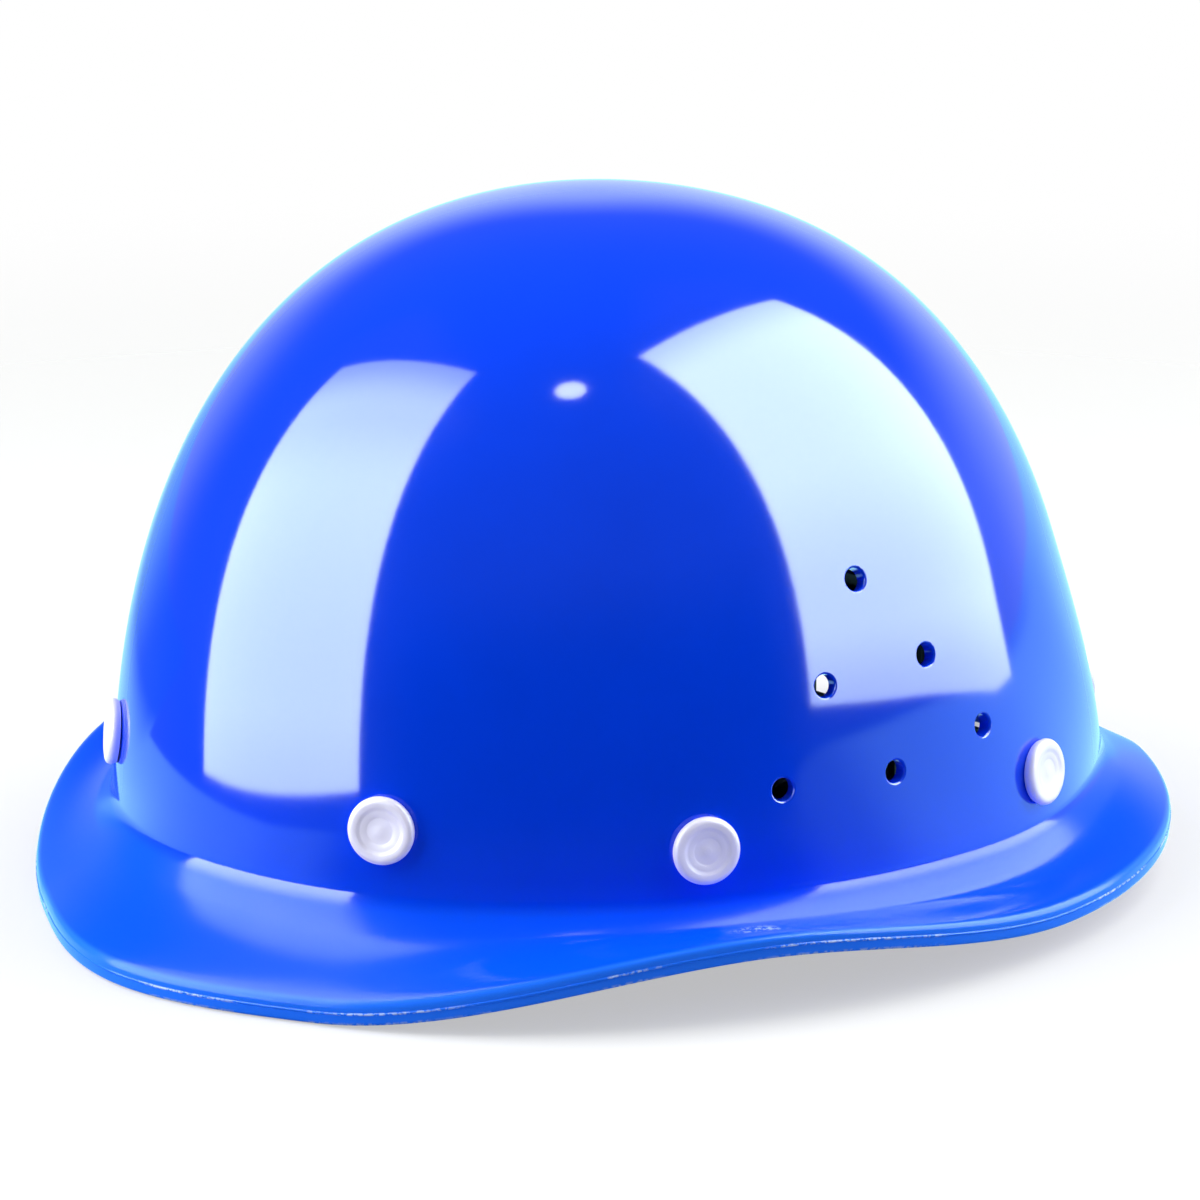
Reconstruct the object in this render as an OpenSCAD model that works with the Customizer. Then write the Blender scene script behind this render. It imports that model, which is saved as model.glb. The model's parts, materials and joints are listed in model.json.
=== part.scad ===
// Work helmet: egg-shaped dome with a rolled brim, riveted webbing cradle, ratchet headband and chin strap.
// Millimetres, +Z up, the peak faces -Y and the wearer's left is +X. The rim rests on z = 0.
// Angles round the shell are counted from the peak and are positive on the wearer's left.
// Angles round the headband's back are counted from the nape, with the same sign.

/* [Dome] */
// Room from the line of the headband to the dome's outside, at each side
side_room = 28; // [27.5:0.5:31]
// The same room in front
front_room = 22; // [21:0.5:26]
// The same room at the back
back_room = 29; // [28.5:0.5:33]
// Height of the crown above the table
dome_h = 155.8; // [150:0.2:168]
// How much broader the back of the dome is than its front
dome_egg = 0.08; // [0.04:0.005:0.09]
// Fullness of the dome's side profile
dome_power = 2.38; // [2.3:0.02:2.6]
// Straight taper of the dome's wall
dome_taper = 0.06; // [0.02:0.01:0.08]
// Height of the crease between dome and brim at mid side
crease_z = 20.2; // [19.6:0.1:21.6]
// How much higher the crease runs at the peak
crease_rise = 1.2; // [0:0.1:2]
// Wall thickness of dome and brim
wall = 3; // [2.4:0.1:3.4]
// Height of the concave fillet above the crease
fillet_h = 3.6; // [3:0.1:5]
// How far the dome's foot flares out behind the ears
nape_flare = 4; // [2:0.2:5]

/* [Brim] */
// Width of the brim at the peak
brim_front = 22.6; // [20:0.2:28]
// Width of the brim at the temples
brim_temple = 17.8; // [16:0.2:22]
// Width of the brim over the ears
brim_side = 18.4; // [16:0.2:24]
// Width of the brim behind the ears
brim_corner = 15.2; // [14:0.2:22]
// Width of the brim at the nape
brim_rear = 19.6; // [18:0.2:28]
// How deep the brim's top is dished between crease and lip
brim_dish = 2; // [0:0.1:2.4]
// Half angle of the flat stretch under the peak
peak_half = 23; // [16:1:28]
// Angle of the top of the arch in the rim
arch_at = 69; // [60:1:74]
// Height of the arch in the rim
arch_h = 14.4; // [8:0.2:14.8]
// Angle where the rim levels off behind the ear
ear_from = 104; // [94:1:112]
// Angle where the rim starts down to the nape
ear_to = 138; // [126:1:146]
// Height of the rim where it levels off
ear_h = 6.6; // [4:0.2:9]
// Height of the rim where it starts down to the nape
corner_h = 9.2; // [5:0.2:10]
// Height of the turned-down lip
lip_h = 5; // [4.4:0.1:5.6]
// Thickness of the lip
lip_t = 3.4; // [3:0.1:4]

/* [Vents] */
// Bore of a vent
vent_d = 5; // [4:0.1:6]
// Height of the lowest row of vents
vent_z = 47.2; // [45:0.2:52]
// Height from row to row
vent_rise = 19.8; // [16:0.2:22]
// Distance from vent to vent along a row
vent_pitch = 27.8; // [20:0.2:28]
// Distance of the vents' middle ahead of the dome's middle
vent_ahead = 6.8; // [2:0.2:10]
// How far the vents' triangle is turned, with its back corner up
vent_turn = 4.5; // [-6:0.5:6]

/* [Rivets and hangers] */
// Diameter of a rivet's cap
cap_d = 15; // [13:0.2:16]
// Height of a rivet's cap
cap_h = 2.6; // [2:0.1:3.4]
// Diameter of a rivet's stem
stem_d = 5; // [4:0.1:5.6]
// Clearance all round a stem in its holes
stem_gap = 0.1; // [0.05:0.01:0.2]
// Diameter of a lock washer
washer_d = 10; // [8.5:0.5:12]
// Thickness of a lock washer
washer_t = 1.2; // [0.8:0.1:1.6]
// Angle of the front and rear pairs of rivets
rivet_end = 28.5; // [26:0.5:32]
// Angle of the temple pair of rivets
rivet_side = 64.5; // [61:0.5:67]
// Angle of the ear pair of rivets
rivet_ear = 111.5; // [109:0.5:115]
// Height of the front rivets
rivet_z_front = 38.7; // [36:0.1:41]
// Height of the other rivets
rivet_z = 34; // [33:0.1:37]
// Thickness of a hanger
hanger_t = 2.2; // [1.8:0.1:2.6]
// Width of a hanger at its rivet
hanger_w = 13; // [12:0.5:13.5]
// Gap between a hanger and the shell
hanger_gap = 0.8; // [0.75:0.05:0.95]
// Height of the bars that carry the crown straps
bar_z = 66; // [65:0.5:70]
// Diameter of those bars
bar_d = 3.6; // [3:0.1:4]

/* [Crown straps] */
// Width of the crown webbing
crown_w = 20; // [16:0.5:21]
// Thickness of all webbing
web_t = 1.2; // [1:0.1:1.4]
// Height of the lowest crown strap's middle
crown_z = 115; // [108:0.5:120]
// Clearance between crossing straps
layer_gap = 0.8; // [0.7:0.05:1]
// Diameter of the crown pad
pad_d = 64; // [50:1:72]
// Thickness of the crown pad
pad_t = 6; // [4:0.5:9]

/* [Headband] */
// Half width of the headband, at the middle of its thickness
band_half_w = 79; // [77:0.5:79.5]
// Distance from the headband's widest place to its front
band_reach = 104; // [100:0.5:106]
// Thickness of the headband
band_t = 1.6; // [1.4:0.1:1.8]
// Height of the headband's lower edge above the table
band_z = 22; // [21:0.2:23]
// Height of the headband
band_h = 28; // [26.5:0.5:28.5]
// Thickness of the sweatband
sweat_t = 4; // [2.5:0.5:5]
// Half angle that the sweatband covers
sweat_half = 62; // [50:1:68]

/* [Ratchet] */
// Teeth of the pinion
pinion_n = 10; // [10:1:10]
// Pitch of the rack teeth along the tails
rack_pitch = 4; // [3.8:0.05:4.1]
// Thickness of a tail
tail_t = 1.4; // [1.2:0.1:1.5]
// Running gap between tails, headband and housing
run_gap = 0.4; // [0.3:0.05:0.45]
// Height of the knob's axis above the table
knob_z = 36; // [35.5:0.1:36.5]
// Diameter of the knob
knob_d = 28.4; // [24:0.2:28.6]
// Depth of the knob
knob_h = 10; // [7:0.5:10.5]
// Diameter of the knob's shaft
shaft_d = 6; // [5:0.2:7]
// Angle that the racks turn each way about the headband's middle
tail_travel = 12; // [8:0.5:12]

/* [Chin strap] */
// Width of the chin webbing
chin_w = 12; // [10:0.5:12.5]
// Distance of the chin strap's sides outside the line of the headband
chin_out = 4.5; // [4:0.5:5]
// Distance of its pivots ahead of the dome's middle
pivot_ahead = 12; // [11:0.5:14]
// Height of its pivots above the table
pivot_z = 33; // [30:0.5:36]
// Diameter of a pivot pin
pin_d = 4; // [3:0.2:4.6]
// Running clearance all round a pivot pin
pin_gap = 0.06; // [0.02:0.01:0.1]
// Thickness of a strap clip
clip_t = 2; // [1.6:0.1:2.2]
// Distance of the strap's far run behind the dome's middle
chin_back = 94; // [88:0.5:96]
// Way that the plug comes out of its socket
plug_travel = 20; // [16:0.5:21]

/* [Hidden] */

// the dome goes round the headband, with the room that its sides, front and back have
dome_half_w = band_half_w + side_room;
dome_half_l = (band_half_w + band_reach + front_room + back_room) / 2;
band_back = dome_half_l - back_room - band_half_w;
chin_half = band_half_w + chin_out;

// the brim's side of the fillet, and the share of the dome's height that the flare takes up
fillet_toe = 4.2;
flare_share = 0.42;
// distance from the shell's inner face to a hanger's bar
bar_in = 7.6;
// fullness of the crown straps' arches
arch_power = 2.5;

// facets of the shell: sections round it, and rings on each stretch of a section
around = 72;
dome_rings = 13;
fillet_rings = 5;
inner_rings = 12;
// the dome's middle, placed so that the middle of the rim's length is over the origin
mid_y = (brim_front - brim_rear - nape_flare) / 2;

// rivets as [angle, height], in the order of the hangers
rivet_spots = [[rivet_end, rivet_z_front], [-rivet_end, rivet_z_front],
    [rivet_side, rivet_z], [-rivet_side, rivet_z], [rivet_ear, rivet_z], [-rivet_ear, rivet_z],
    [180 - rivet_end, rivet_z], [rivet_end - 180, rivet_z]];
plate_depth = wall + hanger_gap;
stem_l = plate_depth + hanger_t + washer_t + 1.4;

// headband and ratchet, from the inside out
band_y = mid_y + band_back;
band_top = band_z + band_h;
tail_r = [band_half_w + band_t / 2 + run_gap, band_half_w + band_t / 2 + 2 * run_gap + tail_t];
tails_out = tail_r[1] + tail_t;
pitch_r = pinion_n * rack_pitch / 360 * 180 / PI;
addendum = 1.1;
dedendum = 1.3;
tooth_w = 0.375 * rack_pitch;
slot_half = pitch_r + addendum + 0.75;
rail_h = 3.2;
tail_half_h = slot_half + rail_h;
tail_narrow_h = 7;
window_half = tail_travel + asin(slot_half / tail_r[0]) + 1.2;
tail_tip = window_half + 4;
tail_end = 83;
housing_half_w = 27;
housing_wall = 1.4;
housing_half_h = tail_half_h + run_gap + housing_wall;
base_out = band_half_w + band_t / 2;
base_t = 1.6;
gear_from = band_y + tail_r[0] - 0.1;
gear_to = band_y + tails_out + 0.2;
detent_from = gear_to + 0.7;
detent_t = 2;
detent_r = 8;
clicks = 20;
pilot_d = 4;
housing_to = detent_from + detent_t + 2.6;
knob_from = housing_to + 0.4;
guide_spans = [[59, 62], [66, 69]];

// pegs that hold the headband in the hangers
peg_d = 3.6;
peg_out = 5.2;
lug_h = 3;
lug_z = band_top + 2;
arm_z = lug_z + lug_h + 0.3;
arm_t = 2;

// chin strap
boss_in = (band_half_w + band_t / 2)
    * sqrt(1 - pow((pivot_ahead + band_back) / (band_reach + band_t / 2), 2)) - band_t;
boss_r = pin_d / 2 + 2.6;
pin_head_r = pin_d / 2 + 1.8;
chin_y = mid_y + chin_back;
pivot_y = mid_y - pivot_ahead;
chin_z = 2;
clip_w = chin_w + 4;
clip_bar_y = mid_y + 10;
bar_half = 1.8;
hem_r = norm([bar_half, clip_t / 2]) + 0.3;
run_from = clip_bar_y + hem_r + web_t / 2;
buckle_x = 16;
buckle_t = 7.6;
socket_bar = buckle_x + 20;
socket_bar_r = 1.5;
slider_x = -28;
// the strap's two bends leave a straight run behind the head that is long enough for the buckle
chin_bend = chin_half - socket_bar - 4;
strap_lap = web_t + 0.4;

// a turn is folded to 0..180 from the peak
function fold(a) = abs(((a + 180) % 360 + 360) % 360 - 180);
function ease(a, b, u) = a + (b - a) * u * u * (3 - 2 * u);
// value at angle a of a smooth run through knots of [angle, value], level at each knot
function run(knots, a, i = 0) =
    i >= len(knots) - 1 ? knots[i][1] :
    a >= knots[i + 1][0] ? run(knots, a, i + 1) :
    ease(knots[i][1], knots[i + 1][1], (a - knots[i][0]) / (knots[i + 1][0] - knots[i][0]));
function unit(v) = v / norm(v);
function bend(p, q, r, u) = p * (1 - u) * (1 - u) + q * 2 * u * (1 - u) + r * u * u;

function brim_w(a) = run([[0, brim_front], [peak_half + 2, brim_temple], [arch_at + 3, brim_temple],
    [ear_from, brim_side], [ear_to, brim_corner], [180, brim_rear]], fold(a));
function rim_z(a) = run([[0, 0], [peak_half, 0], [arch_at, arch_h], [ear_from, ear_h],
    [ear_to, corner_h], [174, 0], [180, 0]], fold(a));
function dish(a) = run([[0, brim_dish], [ear_from, brim_dish], [ear_to, brim_dish / 4],
    [180, brim_dish / 4]], fold(a));
function crease(a) = crease_z + crease_rise * cos(a);

// point of the dome's outline at the crease, from the dome's middle, drawn in by inset
function outline(a, inset = 0) =
    [(dome_half_w - inset) * sin(a) * (1 - dome_egg * cos(a)), -(dome_half_l - inset) * cos(a)];
function outward(a) = let (d = unit(outline(a + 0.1) - outline(a - 0.1))) [d[1], -d[0]];
// share of the outline that is left at height share t of the dome
function reach(t) =
    (1 - dome_taper) * pow(max(0, 1 - pow(t, dome_power)), 1 / dome_power) + dome_taper * (1 - t);
// how far the dome's foot is flared outwards, which it is only from the ears back
function flare(a, t) = let (low = max(0, 1 - max(0, t) / flare_share))
    nape_flare * run([[0, 0], [90, 0], [ear_to, 1], [180, 1]], fold(a)) * ease(0, 1, low);
function dome_point(a, z, inset = 0) =
    let (t = (z - crease(a)) / (dome_h - inset - crease(a)),
        p = outline(a, inset) * reach(t) + outward(a) * flare(a, t))
    [p[0], mid_y + p[1], z];
function dome_normal(a, z) =
    let (round_it = dome_point(a + 0.5, z) - dome_point(a - 0.5, z),
        up_it = dome_point(a, z + 0.5) - dome_point(a, z - 0.5)) unit(cross(round_it, up_it));
// angle at which the dome has the given y at height z
function angle_for(y, z, a = 90, n = 6) =
    n == 0 ? a :
    let (slope = (dome_point(a + 1, z)[1] - dome_point(a - 1, z)[1]) / 2)
    angle_for(y, z, a - (dome_point(a, z)[1] - y) / slope, n - 1);

// rings of one skin of the dome, from the crown down to the fillet
function skin(a, inset, rings) =
    let (rise = dome_h - inset - crease(a), turn = acos(pow(fillet_h / rise, dome_power / 2)))
    [for (j = concat([for (k = [1:rings - 2]) k], [rings - 1, rings - 0.5, rings]))
        dome_point(a, crease(a) + rise * pow(cos(turn * j / rings), 2 / dome_power), inset)];
// one section through the shell: down the outside, round the lip and back up the inside
function section(a) =
    let (n = outward(a), p = outline(a) + n * flare(a, 0), w = brim_w(a), toe = fillet_toe,
        zb = rim_z(a), zt = zb + lip_h, zc = crease(a), sag = dish(a),
        slope = (zt - zc) / w, drop = wall * sqrt(1 + slope * slope),
        at = function (u, z) [p[0] + n[0] * u, mid_y + p[1] + n[1] * u, z],
        line = function (u) zc + slope * u - 4 * sag * u / w * (1 - u / w),
        top = function (u) at(u, line(u)),
        under = function (u) at(u, line(u) - drop),
        outer = skin(a, 0, dome_rings), outer_end = outer[len(outer) - 1],
        inner = skin(a, wall, inner_rings), inner_end = inner[len(inner) - 1])
    concat(outer,
        [for (j = [1:fillet_rings]) bend(outer_end, at(0, zc), top(toe), j / fillet_rings)],
        [top(w * 0.42), top(w * 0.6), top(w * 0.78), top(w - 1.4), at(w - 0.5, zt - 0.3), at(w, zt - 1.3)],
        [at(w, zb + 1), at(w - 0.3, zb + 0.3), at(w - 1, zb)],
        [at(w - lip_t + 0.6, zb), at(w - lip_t, zb + 0.6)],
        [under(w - lip_t - 0.6), under(w * 0.5), under(toe)],
        [for (j = [1:4]) bend(under(toe), at(-wall, zc + slope * wall - drop), inner_end, j / 4)],
        [for (j = [len(inner) - 2:-1:0]) inner[j]]);

module shell_body() {
    sections = [for (i = [0:around - 1]) section(i * 360 / around)];
    m = len(sections[0]);
    crown = around * m;
    faces = [for (i = [0:around - 1]) let (h = i * m, k = ((i + 1) % around) * m) each concat(
        [for (j = [0:m - 2]) each [[h + j, k + j + 1, h + j + 1], [h + j, k + j, k + j + 1]]],
        [[crown, k, h], [crown + 1, h + m - 1, k + m - 1]])];
    poles = [[0, mid_y, dome_h], [0, mid_y, dome_h - wall]];
    polyhedron(concat([for (s = sections) each s], poles), faces, convexity = 6);
}

// stands a part on the dome at angle a and height z, with its +Z along the outward normal
module on_dome(a, z) {
    n = dome_normal(a, z);
    translate(dome_point(a, z)) rotate([0, acos(n[2]), atan2(n[1], n[0])]) children();
}
// three vents, then two, then one, in a triangle that is turned about its middle
module vent_bores() {
    mid_row = 2 / 3;
    for (row = [0:2], i = [0:2 - row], s = [1, -1]) {
        along = vent_pitch * (i - (2 - row) / 2);
        above = vent_rise * (row - mid_row);
        y = mid_y - vent_ahead + along * cos(vent_turn) - above * sin(vent_turn);
        z = vent_z + vent_rise * mid_row + along * sin(vent_turn) + above * cos(vent_turn);
        on_dome(s * angle_for(y, z), z)
            translate([0, 0, -2 * wall]) cylinder(d = vent_d, h = 4 * wall, $fn = 24);
    }
}
module stem_bores() {
    for (r = rivet_spots) on_dome(r[0], r[1])
        translate([0, 0, -4 * wall]) cylinder(d = stem_d + 2 * stem_gap, h = 6 * wall, $fn = 24);
}
module shell() {
    color("royalblue") difference() {
        shell_body();
        stem_bores();
        vent_bores();
    }
}

// snap rivets: a flat cap with a raised, rounded rim, and a stem with a groove for its washer
module rivets() {
    r = cap_d / 2;
    q = stem_d / 2;
    rim = 1.3;
    sunk = 0.35;
    seat = 0.1;
    color("white") for (s = rivet_spots) on_dome(s[0], s[1]) rotate_extrude($fn = 40)
        polygon(concat([[0, -stem_l], [q - 0.6, -stem_l], [q, -stem_l + 0.8], [q, seat], [r - 0.3, seat]],
            [for (t = [-20:22:90]) [r - rim + rim * cos(t), cap_h - rim + rim * sin(t)]],
            [[r - 2.2, cap_h - 0.1], [r - 2.8, cap_h - sunk], [0, cap_h - sunk]]));
}
module rivet_washers() {
    color("white") for (s = rivet_spots) on_dome(s[0], s[1])
        translate([0, 0, -plate_depth - hanger_t - 0.4 - washer_t]) difference() {
            cylinder(d = washer_d, h = washer_t, $fn = 32);
            translate([0, 0, -1]) cylinder(d = stem_d + stem_gap, h = washer_t + 2, $fn = 24);
        }
}

// hangers are drawn in a vertical plane: u runs inwards from the shell's inner face at the rivet
function wall_pt(i) = dome_point(rivet_spots[i][0], rivet_spots[i][1], wall);
function inwards(i) = let (n = dome_normal(rivet_spots[i][0], rivet_spots[i][1])) -unit([n[0], n[1]]);
function lean(i, z) =
    let (p = dome_point(rivet_spots[i][0], z, wall) - wall_pt(i)) [p[0], p[1]] * inwards(i);
function bar_u(i) = lean(i, bar_z) + bar_in;
function bar_pt(i) = let (p = wall_pt(i), d = inwards(i)) [p[0] + d[0] * bar_u(i), p[1] + d[1] * bar_u(i)];
// inside of the line of the pegs, which runs round outside the headband
function in_pegs(p) =
    let (o = band_t / 2 + peg_out, y = p[1] - band_y, l = (y < 0 ? band_reach : band_half_w) + o,
        x = p[0] / (band_half_w + o))
    x * x + y * y / (l * l) < 1;
// distance inwards from the shell to the peg line
function peg_u(i, low = 0, high = 40, n = 14) =
    n == 0 ? low :
    let (mid = (low + high) / 2, p = wall_pt(i), d = inwards(i))
    in_pegs([p[0] + d[0] * mid, p[1] + d[1] * mid]) ? peg_u(i, low, mid, n - 1) : peg_u(i, mid, high, n - 1);

// puts a part at rivet i with +X inwards and +Z up, and z = 0 on the table
module at_hanger(i) {
    d = inwards(i);
    translate([wall_pt(i)[0], wall_pt(i)[1], 0]) rotate([0, 0, atan2(d[1], d[0])]) children();
}
module upright(points, w) {
    translate([0, w / 2, 0]) rotate([90, 0, 0]) linear_extrude(w) polygon(points);
}
// arm from the hanger to a peg with a barbed end, which snaps into a lug of the headband
module peg_arm(from, to) {
    arm_w = 7;
    below = 1.2;
    barb = 0.8;
    translate([from, -arm_w / 2, arm_z]) cube([to + peg_d / 2 + barb - from, arm_w, arm_t]);
    translate([to, 0, lug_z - below]) cylinder(d = peg_d, h = arm_z - lug_z + below + arm_t / 2, $fn = 24);
    translate([to, 0, lug_z - below - barb / 2])
        cylinder(r1 = peg_d / 2, r2 = peg_d / 2 + barb, h = below, $fn = 24);
}
module hanger(i, holds_band) {
    z0 = rivet_spots[i][1];
    yoke_w = crown_w + 7;
    yoke_z = band_top + 4;
    post = 2.6;
    levels = [z0 - 8, z0, z0 + 6, yoke_z - 4, yoke_z];
    face = [for (z = levels) [lean(i, z) + hanger_gap, z]];
    back = [for (z = levels) [lean(i, z) + hanger_gap + hanger_t, z]];
    foot = [lean(i, yoke_z) + 1.7, yoke_z];
    head = [bar_u(i), bar_z];
    color("whitesmoke") difference() {
        union() {
            at_hanger(i) upright(
                concat(face, [[back[4][0], yoke_z + 2]], [for (k = [4:-1:0]) back[k]]), hanger_w);
            at_hanger(i) difference() {
                upright([foot, head - [hanger_t / 2, 0], head + [hanger_t / 2, 0],
                    foot + [hanger_t + 0.4, 0]], yoke_w);
                translate([-1, -yoke_w / 2 + post, yoke_z + 5])
                    cube([bar_u(i) + 6, yoke_w - 2 * post, bar_z - yoke_z]);
            }
            at_hanger(i) translate([bar_u(i), yoke_w / 2, bar_z]) rotate([90, 0, 0])
                cylinder(d = bar_d, h = yoke_w, $fn = 24);
            if (holds_band) at_hanger(i) peg_arm(foot[0] + 0.4, peg_u(i));
        }
        on_dome(rivet_spots[i][0], z0) translate([0, 0, -4 * wall])
            cylinder(d = stem_d + 2 * stem_gap, h = 6 * wall, $fn = 24);
    }
}
module hanger_front_left() hanger(0, true);
module hanger_front_right() hanger(1, true);
module hanger_temple_left() hanger(2, true);
module hanger_temple_right() hanger(3, true);
module hanger_ear_left() hanger(4, true);
module hanger_ear_right() hanger(5, true);
module hanger_rear_left() hanger(6, false);
module hanger_rear_right() hanger(7, false);

// a crown strap runs from hanger i to hanger k, with a hem round each bar
module crown_strap(i, k, layer) {
    a = bar_pt(i);
    b = bar_pt(k);
    along = unit(b - a);
    half = norm(b - a) / 2;
    skew = max(abs(cross(along, inwards(i))), abs(cross(along, inwards(k))));
    hem = bar_d / 2 + 0.3 + skew * crown_w / 2;
    rise = crown_z + layer * (web_t + layer_gap) - bar_z;
    span = half - hem - web_t / 2;
    cut = acos(hem / (hem + web_t));
    start = asin(pow((hem + web_t) * sin(cut) / (rise + web_t / 2), arch_power / 2));
    arch = function (o, t) [(span + o) * sign(cos(t)) * pow(abs(cos(t)), 2 / arch_power),
        (rise + o) * pow(sin(t), 2 / arch_power)];
    ring = function (x, t) [x + (hem + web_t) * cos(t), (hem + web_t) * sin(t)];
    points = concat(
        [for (j = [0:24]) arch(web_t / 2, start + (180 - 2 * start) * j / 24)],
        [for (j = [0:9]) ring(-half, cut + (360 - cut) * j / 9)],
        [for (j = [1:23]) arch(-web_t / 2, 180 - 180 * j / 24)],
        [for (j = [0:9]) ring(half, 180 + (360 - cut) * j / 9)]);
    color([0.08, 0.08, 0.09]) translate([(a[0] + b[0]) / 2, (a[1] + b[1]) / 2, bar_z])
        rotate([0, 0, atan2(b[1] - a[1], b[0] - a[0])]) rotate([90, 0, 0]) difference() {
            translate([0, 0, -crown_w / 2]) linear_extrude(crown_w) polygon(points);
            for (s = [1, -1]) translate([s * half, 0, -crown_w]) cylinder(r = hem, h = 2 * crown_w, $fn = 24);
        }
}
module crown_strap_1() crown_strap(3, 4, 0);
module crown_strap_2() crown_strap(2, 5, 1);
module crown_strap_3() crown_strap(1, 6, 2);
module crown_strap_4() crown_strap(0, 7, 3);

// crown pad: a shallow cap under the crossing, drawn in at its edge
module crown_pad() {
    r = pad_d / 2;
    sphere_r = 150;
    flat_r = r - pad_t / 2;
    top = function (x) crown_z - web_t / 2 - 0.3 - x * x / (2 * sphere_r);
    color([0.15, 0.15, 0.16]) translate([0, mid_y, 0]) rotate_extrude($fn = 64) polygon(concat(
        [for (j = [0:6]) [flat_r * j / 6, top(flat_r * j / 6)]],
        [for (t = [60:-30:-60]) [flat_r + pad_t / 2 * cos(t), top(r) + pad_t / 2 * (sin(t) - 1)]],
        [for (j = [6:-1:0]) [flat_r * j / 6, top(flat_r * j / 6) - pad_t]]));
}

// point of the headband's line, set out by o, at angle a from its front
function band_pt(a, o) =
    [(band_half_w + o) * sin(a), band_y - ((abs(a) < 90 ? band_reach : band_half_w) + o) * cos(a)];
module band_strip(half, o1, o2, z, h, steps) {
    line = function (o) [for (j = [-steps:steps]) band_pt(half * j / steps, o)];
    back = line(o1);
    translate([0, 0, z]) linear_extrude(h)
        polygon(concat(line(o2), [for (j = [len(back) - 1:-1:0]) back[j]]));
}
// part of a ring about the headband's middle, from angle a to b, counted from the nape
module ring_part(r1, r2, a, b, z, h) {
    translate([0, band_y, z]) rotate([0, 0, 90 - b]) rotate_extrude(angle = b - a, $fn = 128)
        translate([r1, 0]) square([r2 - r1, h]);
}
module band_lugs(bores) {
    for (i = [0:5]) at_hanger(i) if (bores) {
        translate([peg_u(i), 0, lug_z - 1]) cylinder(d = peg_d + 0.4, h = lug_h + 2, $fn = 24);
    } else {
        translate([peg_u(i), 0, lug_z]) cylinder(r = peg_d / 2 + 2, h = lug_h, $fn = 24);
        translate([peg_u(i), -3.8, lug_z]) cube([4, 7.6, lug_h]);
        translate([peg_u(i) + 3.1, -5, band_top - 0.6])
            cube([peg_out - 3.1 + band_t, 10, lug_z + lug_h - band_top + 0.6]);
    }
}
module guide_loops(s) {
    out = s > 0 ? tail_r[0] + tail_t : tails_out;
    h = tail_narrow_h + run_gap;
    for (g = guide_spans) {
        a = s > 0 ? g[0] : -g[1];
        difference() {
            ring_part(band_half_w, out + run_gap + 1.4, a, a + g[1] - g[0], knob_z - h - 1.4, 2 * h + 2.8);
            ring_part(band_half_w + band_t / 2, out + run_gap, a - 2, a + g[1] - g[0] + 2, knob_z - h, 2 * h);
        }
    }
}
module pin_place(s) {
    translate([0, pivot_y, pivot_z]) rotate([0, 90 * s, 0]) children();
}
module headband() {
    slot_h = 3;
    color([0.1, 0.1, 0.11]) difference() {
        union() {
            band_strip(180 - 58, -band_t / 2, band_t / 2, band_z, band_h, 30);
            band_lugs(false);
            guide_loops(1);
            guide_loops(-1);
            for (s = [1, -1]) pin_place(s) translate([0, 0, boss_in + 0.2])
                cylinder(r = boss_r, h = chin_half - clip_t / 2 - 0.4 - boss_in - 0.2, $fn = 32);
        }
        band_lugs(true);
        for (s = [1, -1]) pin_place(s) translate([0, 0, boss_in - 5])
            cylinder(d = pin_d + 2 * pin_gap, h = 20, $fn = 32);
        for (s = [1, -1], a = [12:12:60]) {
            p = band_pt(a * s, 0);
            translate([p[0], p[1], band_z + 5]) rotate([0, 0, atan2(p[1] - band_y, p[0])])
                translate([-4, -4, 0]) cube([8, 8, slot_h]);
        }
    }
}
module sweatband() {
    seat = -band_t / 2 - 0.3;
    color([0.16, 0.14, 0.13]) band_strip(sweat_half, seat - sweat_t, seat, band_z + 2, band_h - 4, 20);
}
module nape_pad() {
    seat = base_out - base_t - 0.3;
    color([0.16, 0.14, 0.13]) ring_part(seat - sweat_t, seat, -18, 18, knob_z - 10.5, 21);
}

// toothed tails: a rack along one edge of a long window, and a narrow strip through the guides
module rack_tooth(r, side) {
    root = tooth_w / 2 + dedendum * tan(20);
    tip = tooth_w / 2 - addendum * tan(20);
    base_z = side * (pitch_r + dedendum);
    tip_z = side * (pitch_r - addendum);
    inset = 0.05;
    rotate([90, 0, 0]) translate([0, 0, inset - r - tail_t]) linear_extrude(tail_t - 2 * inset) polygon([
        [-root, base_z + side * 0.5], [-root, base_z], [-tip, tip_z], [tip, tip_z], [root, base_z],
        [root, base_z + side * 0.5]]);
}
module tail(r, s, side) {
    step = rack_pitch / (r + tail_t / 2) * 180 / PI;
    teeth = ceil(tail_travel / step) + 1;
    low = side > 0 ? -slot_half : -pitch_r - dedendum;
    high = side > 0 ? pitch_r + dedendum : slot_half;
    wide = s > 0 ? [-tail_tip, tail_tip + 5] : [-tail_tip - 5, tail_tip];
    narrow = s > 0 ? [tail_tip + 4, tail_end] : [-tail_end, -tail_tip - 4];
    color([0.12, 0.12, 0.13]) {
        difference() {
            union() {
                ring_part(r, r + tail_t, wide[0], wide[1], knob_z - tail_half_h, 2 * tail_half_h);
                ring_part(r, r + tail_t, narrow[0], narrow[1], knob_z - tail_narrow_h, 2 * tail_narrow_h);
            }
            ring_part(r - 1, r + tail_t + 1, -window_half, window_half, knob_z + low, high - low);
        }
        translate([0, band_y, knob_z]) for (k = [-teeth:teeth]) rotate([0, 0, k * step]) rack_tooth(r, side);
    }
}
module tail_left() tail(tail_r[0], 1, 1);
module tail_right() tail(tail_r[1], -1, -1);

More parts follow.
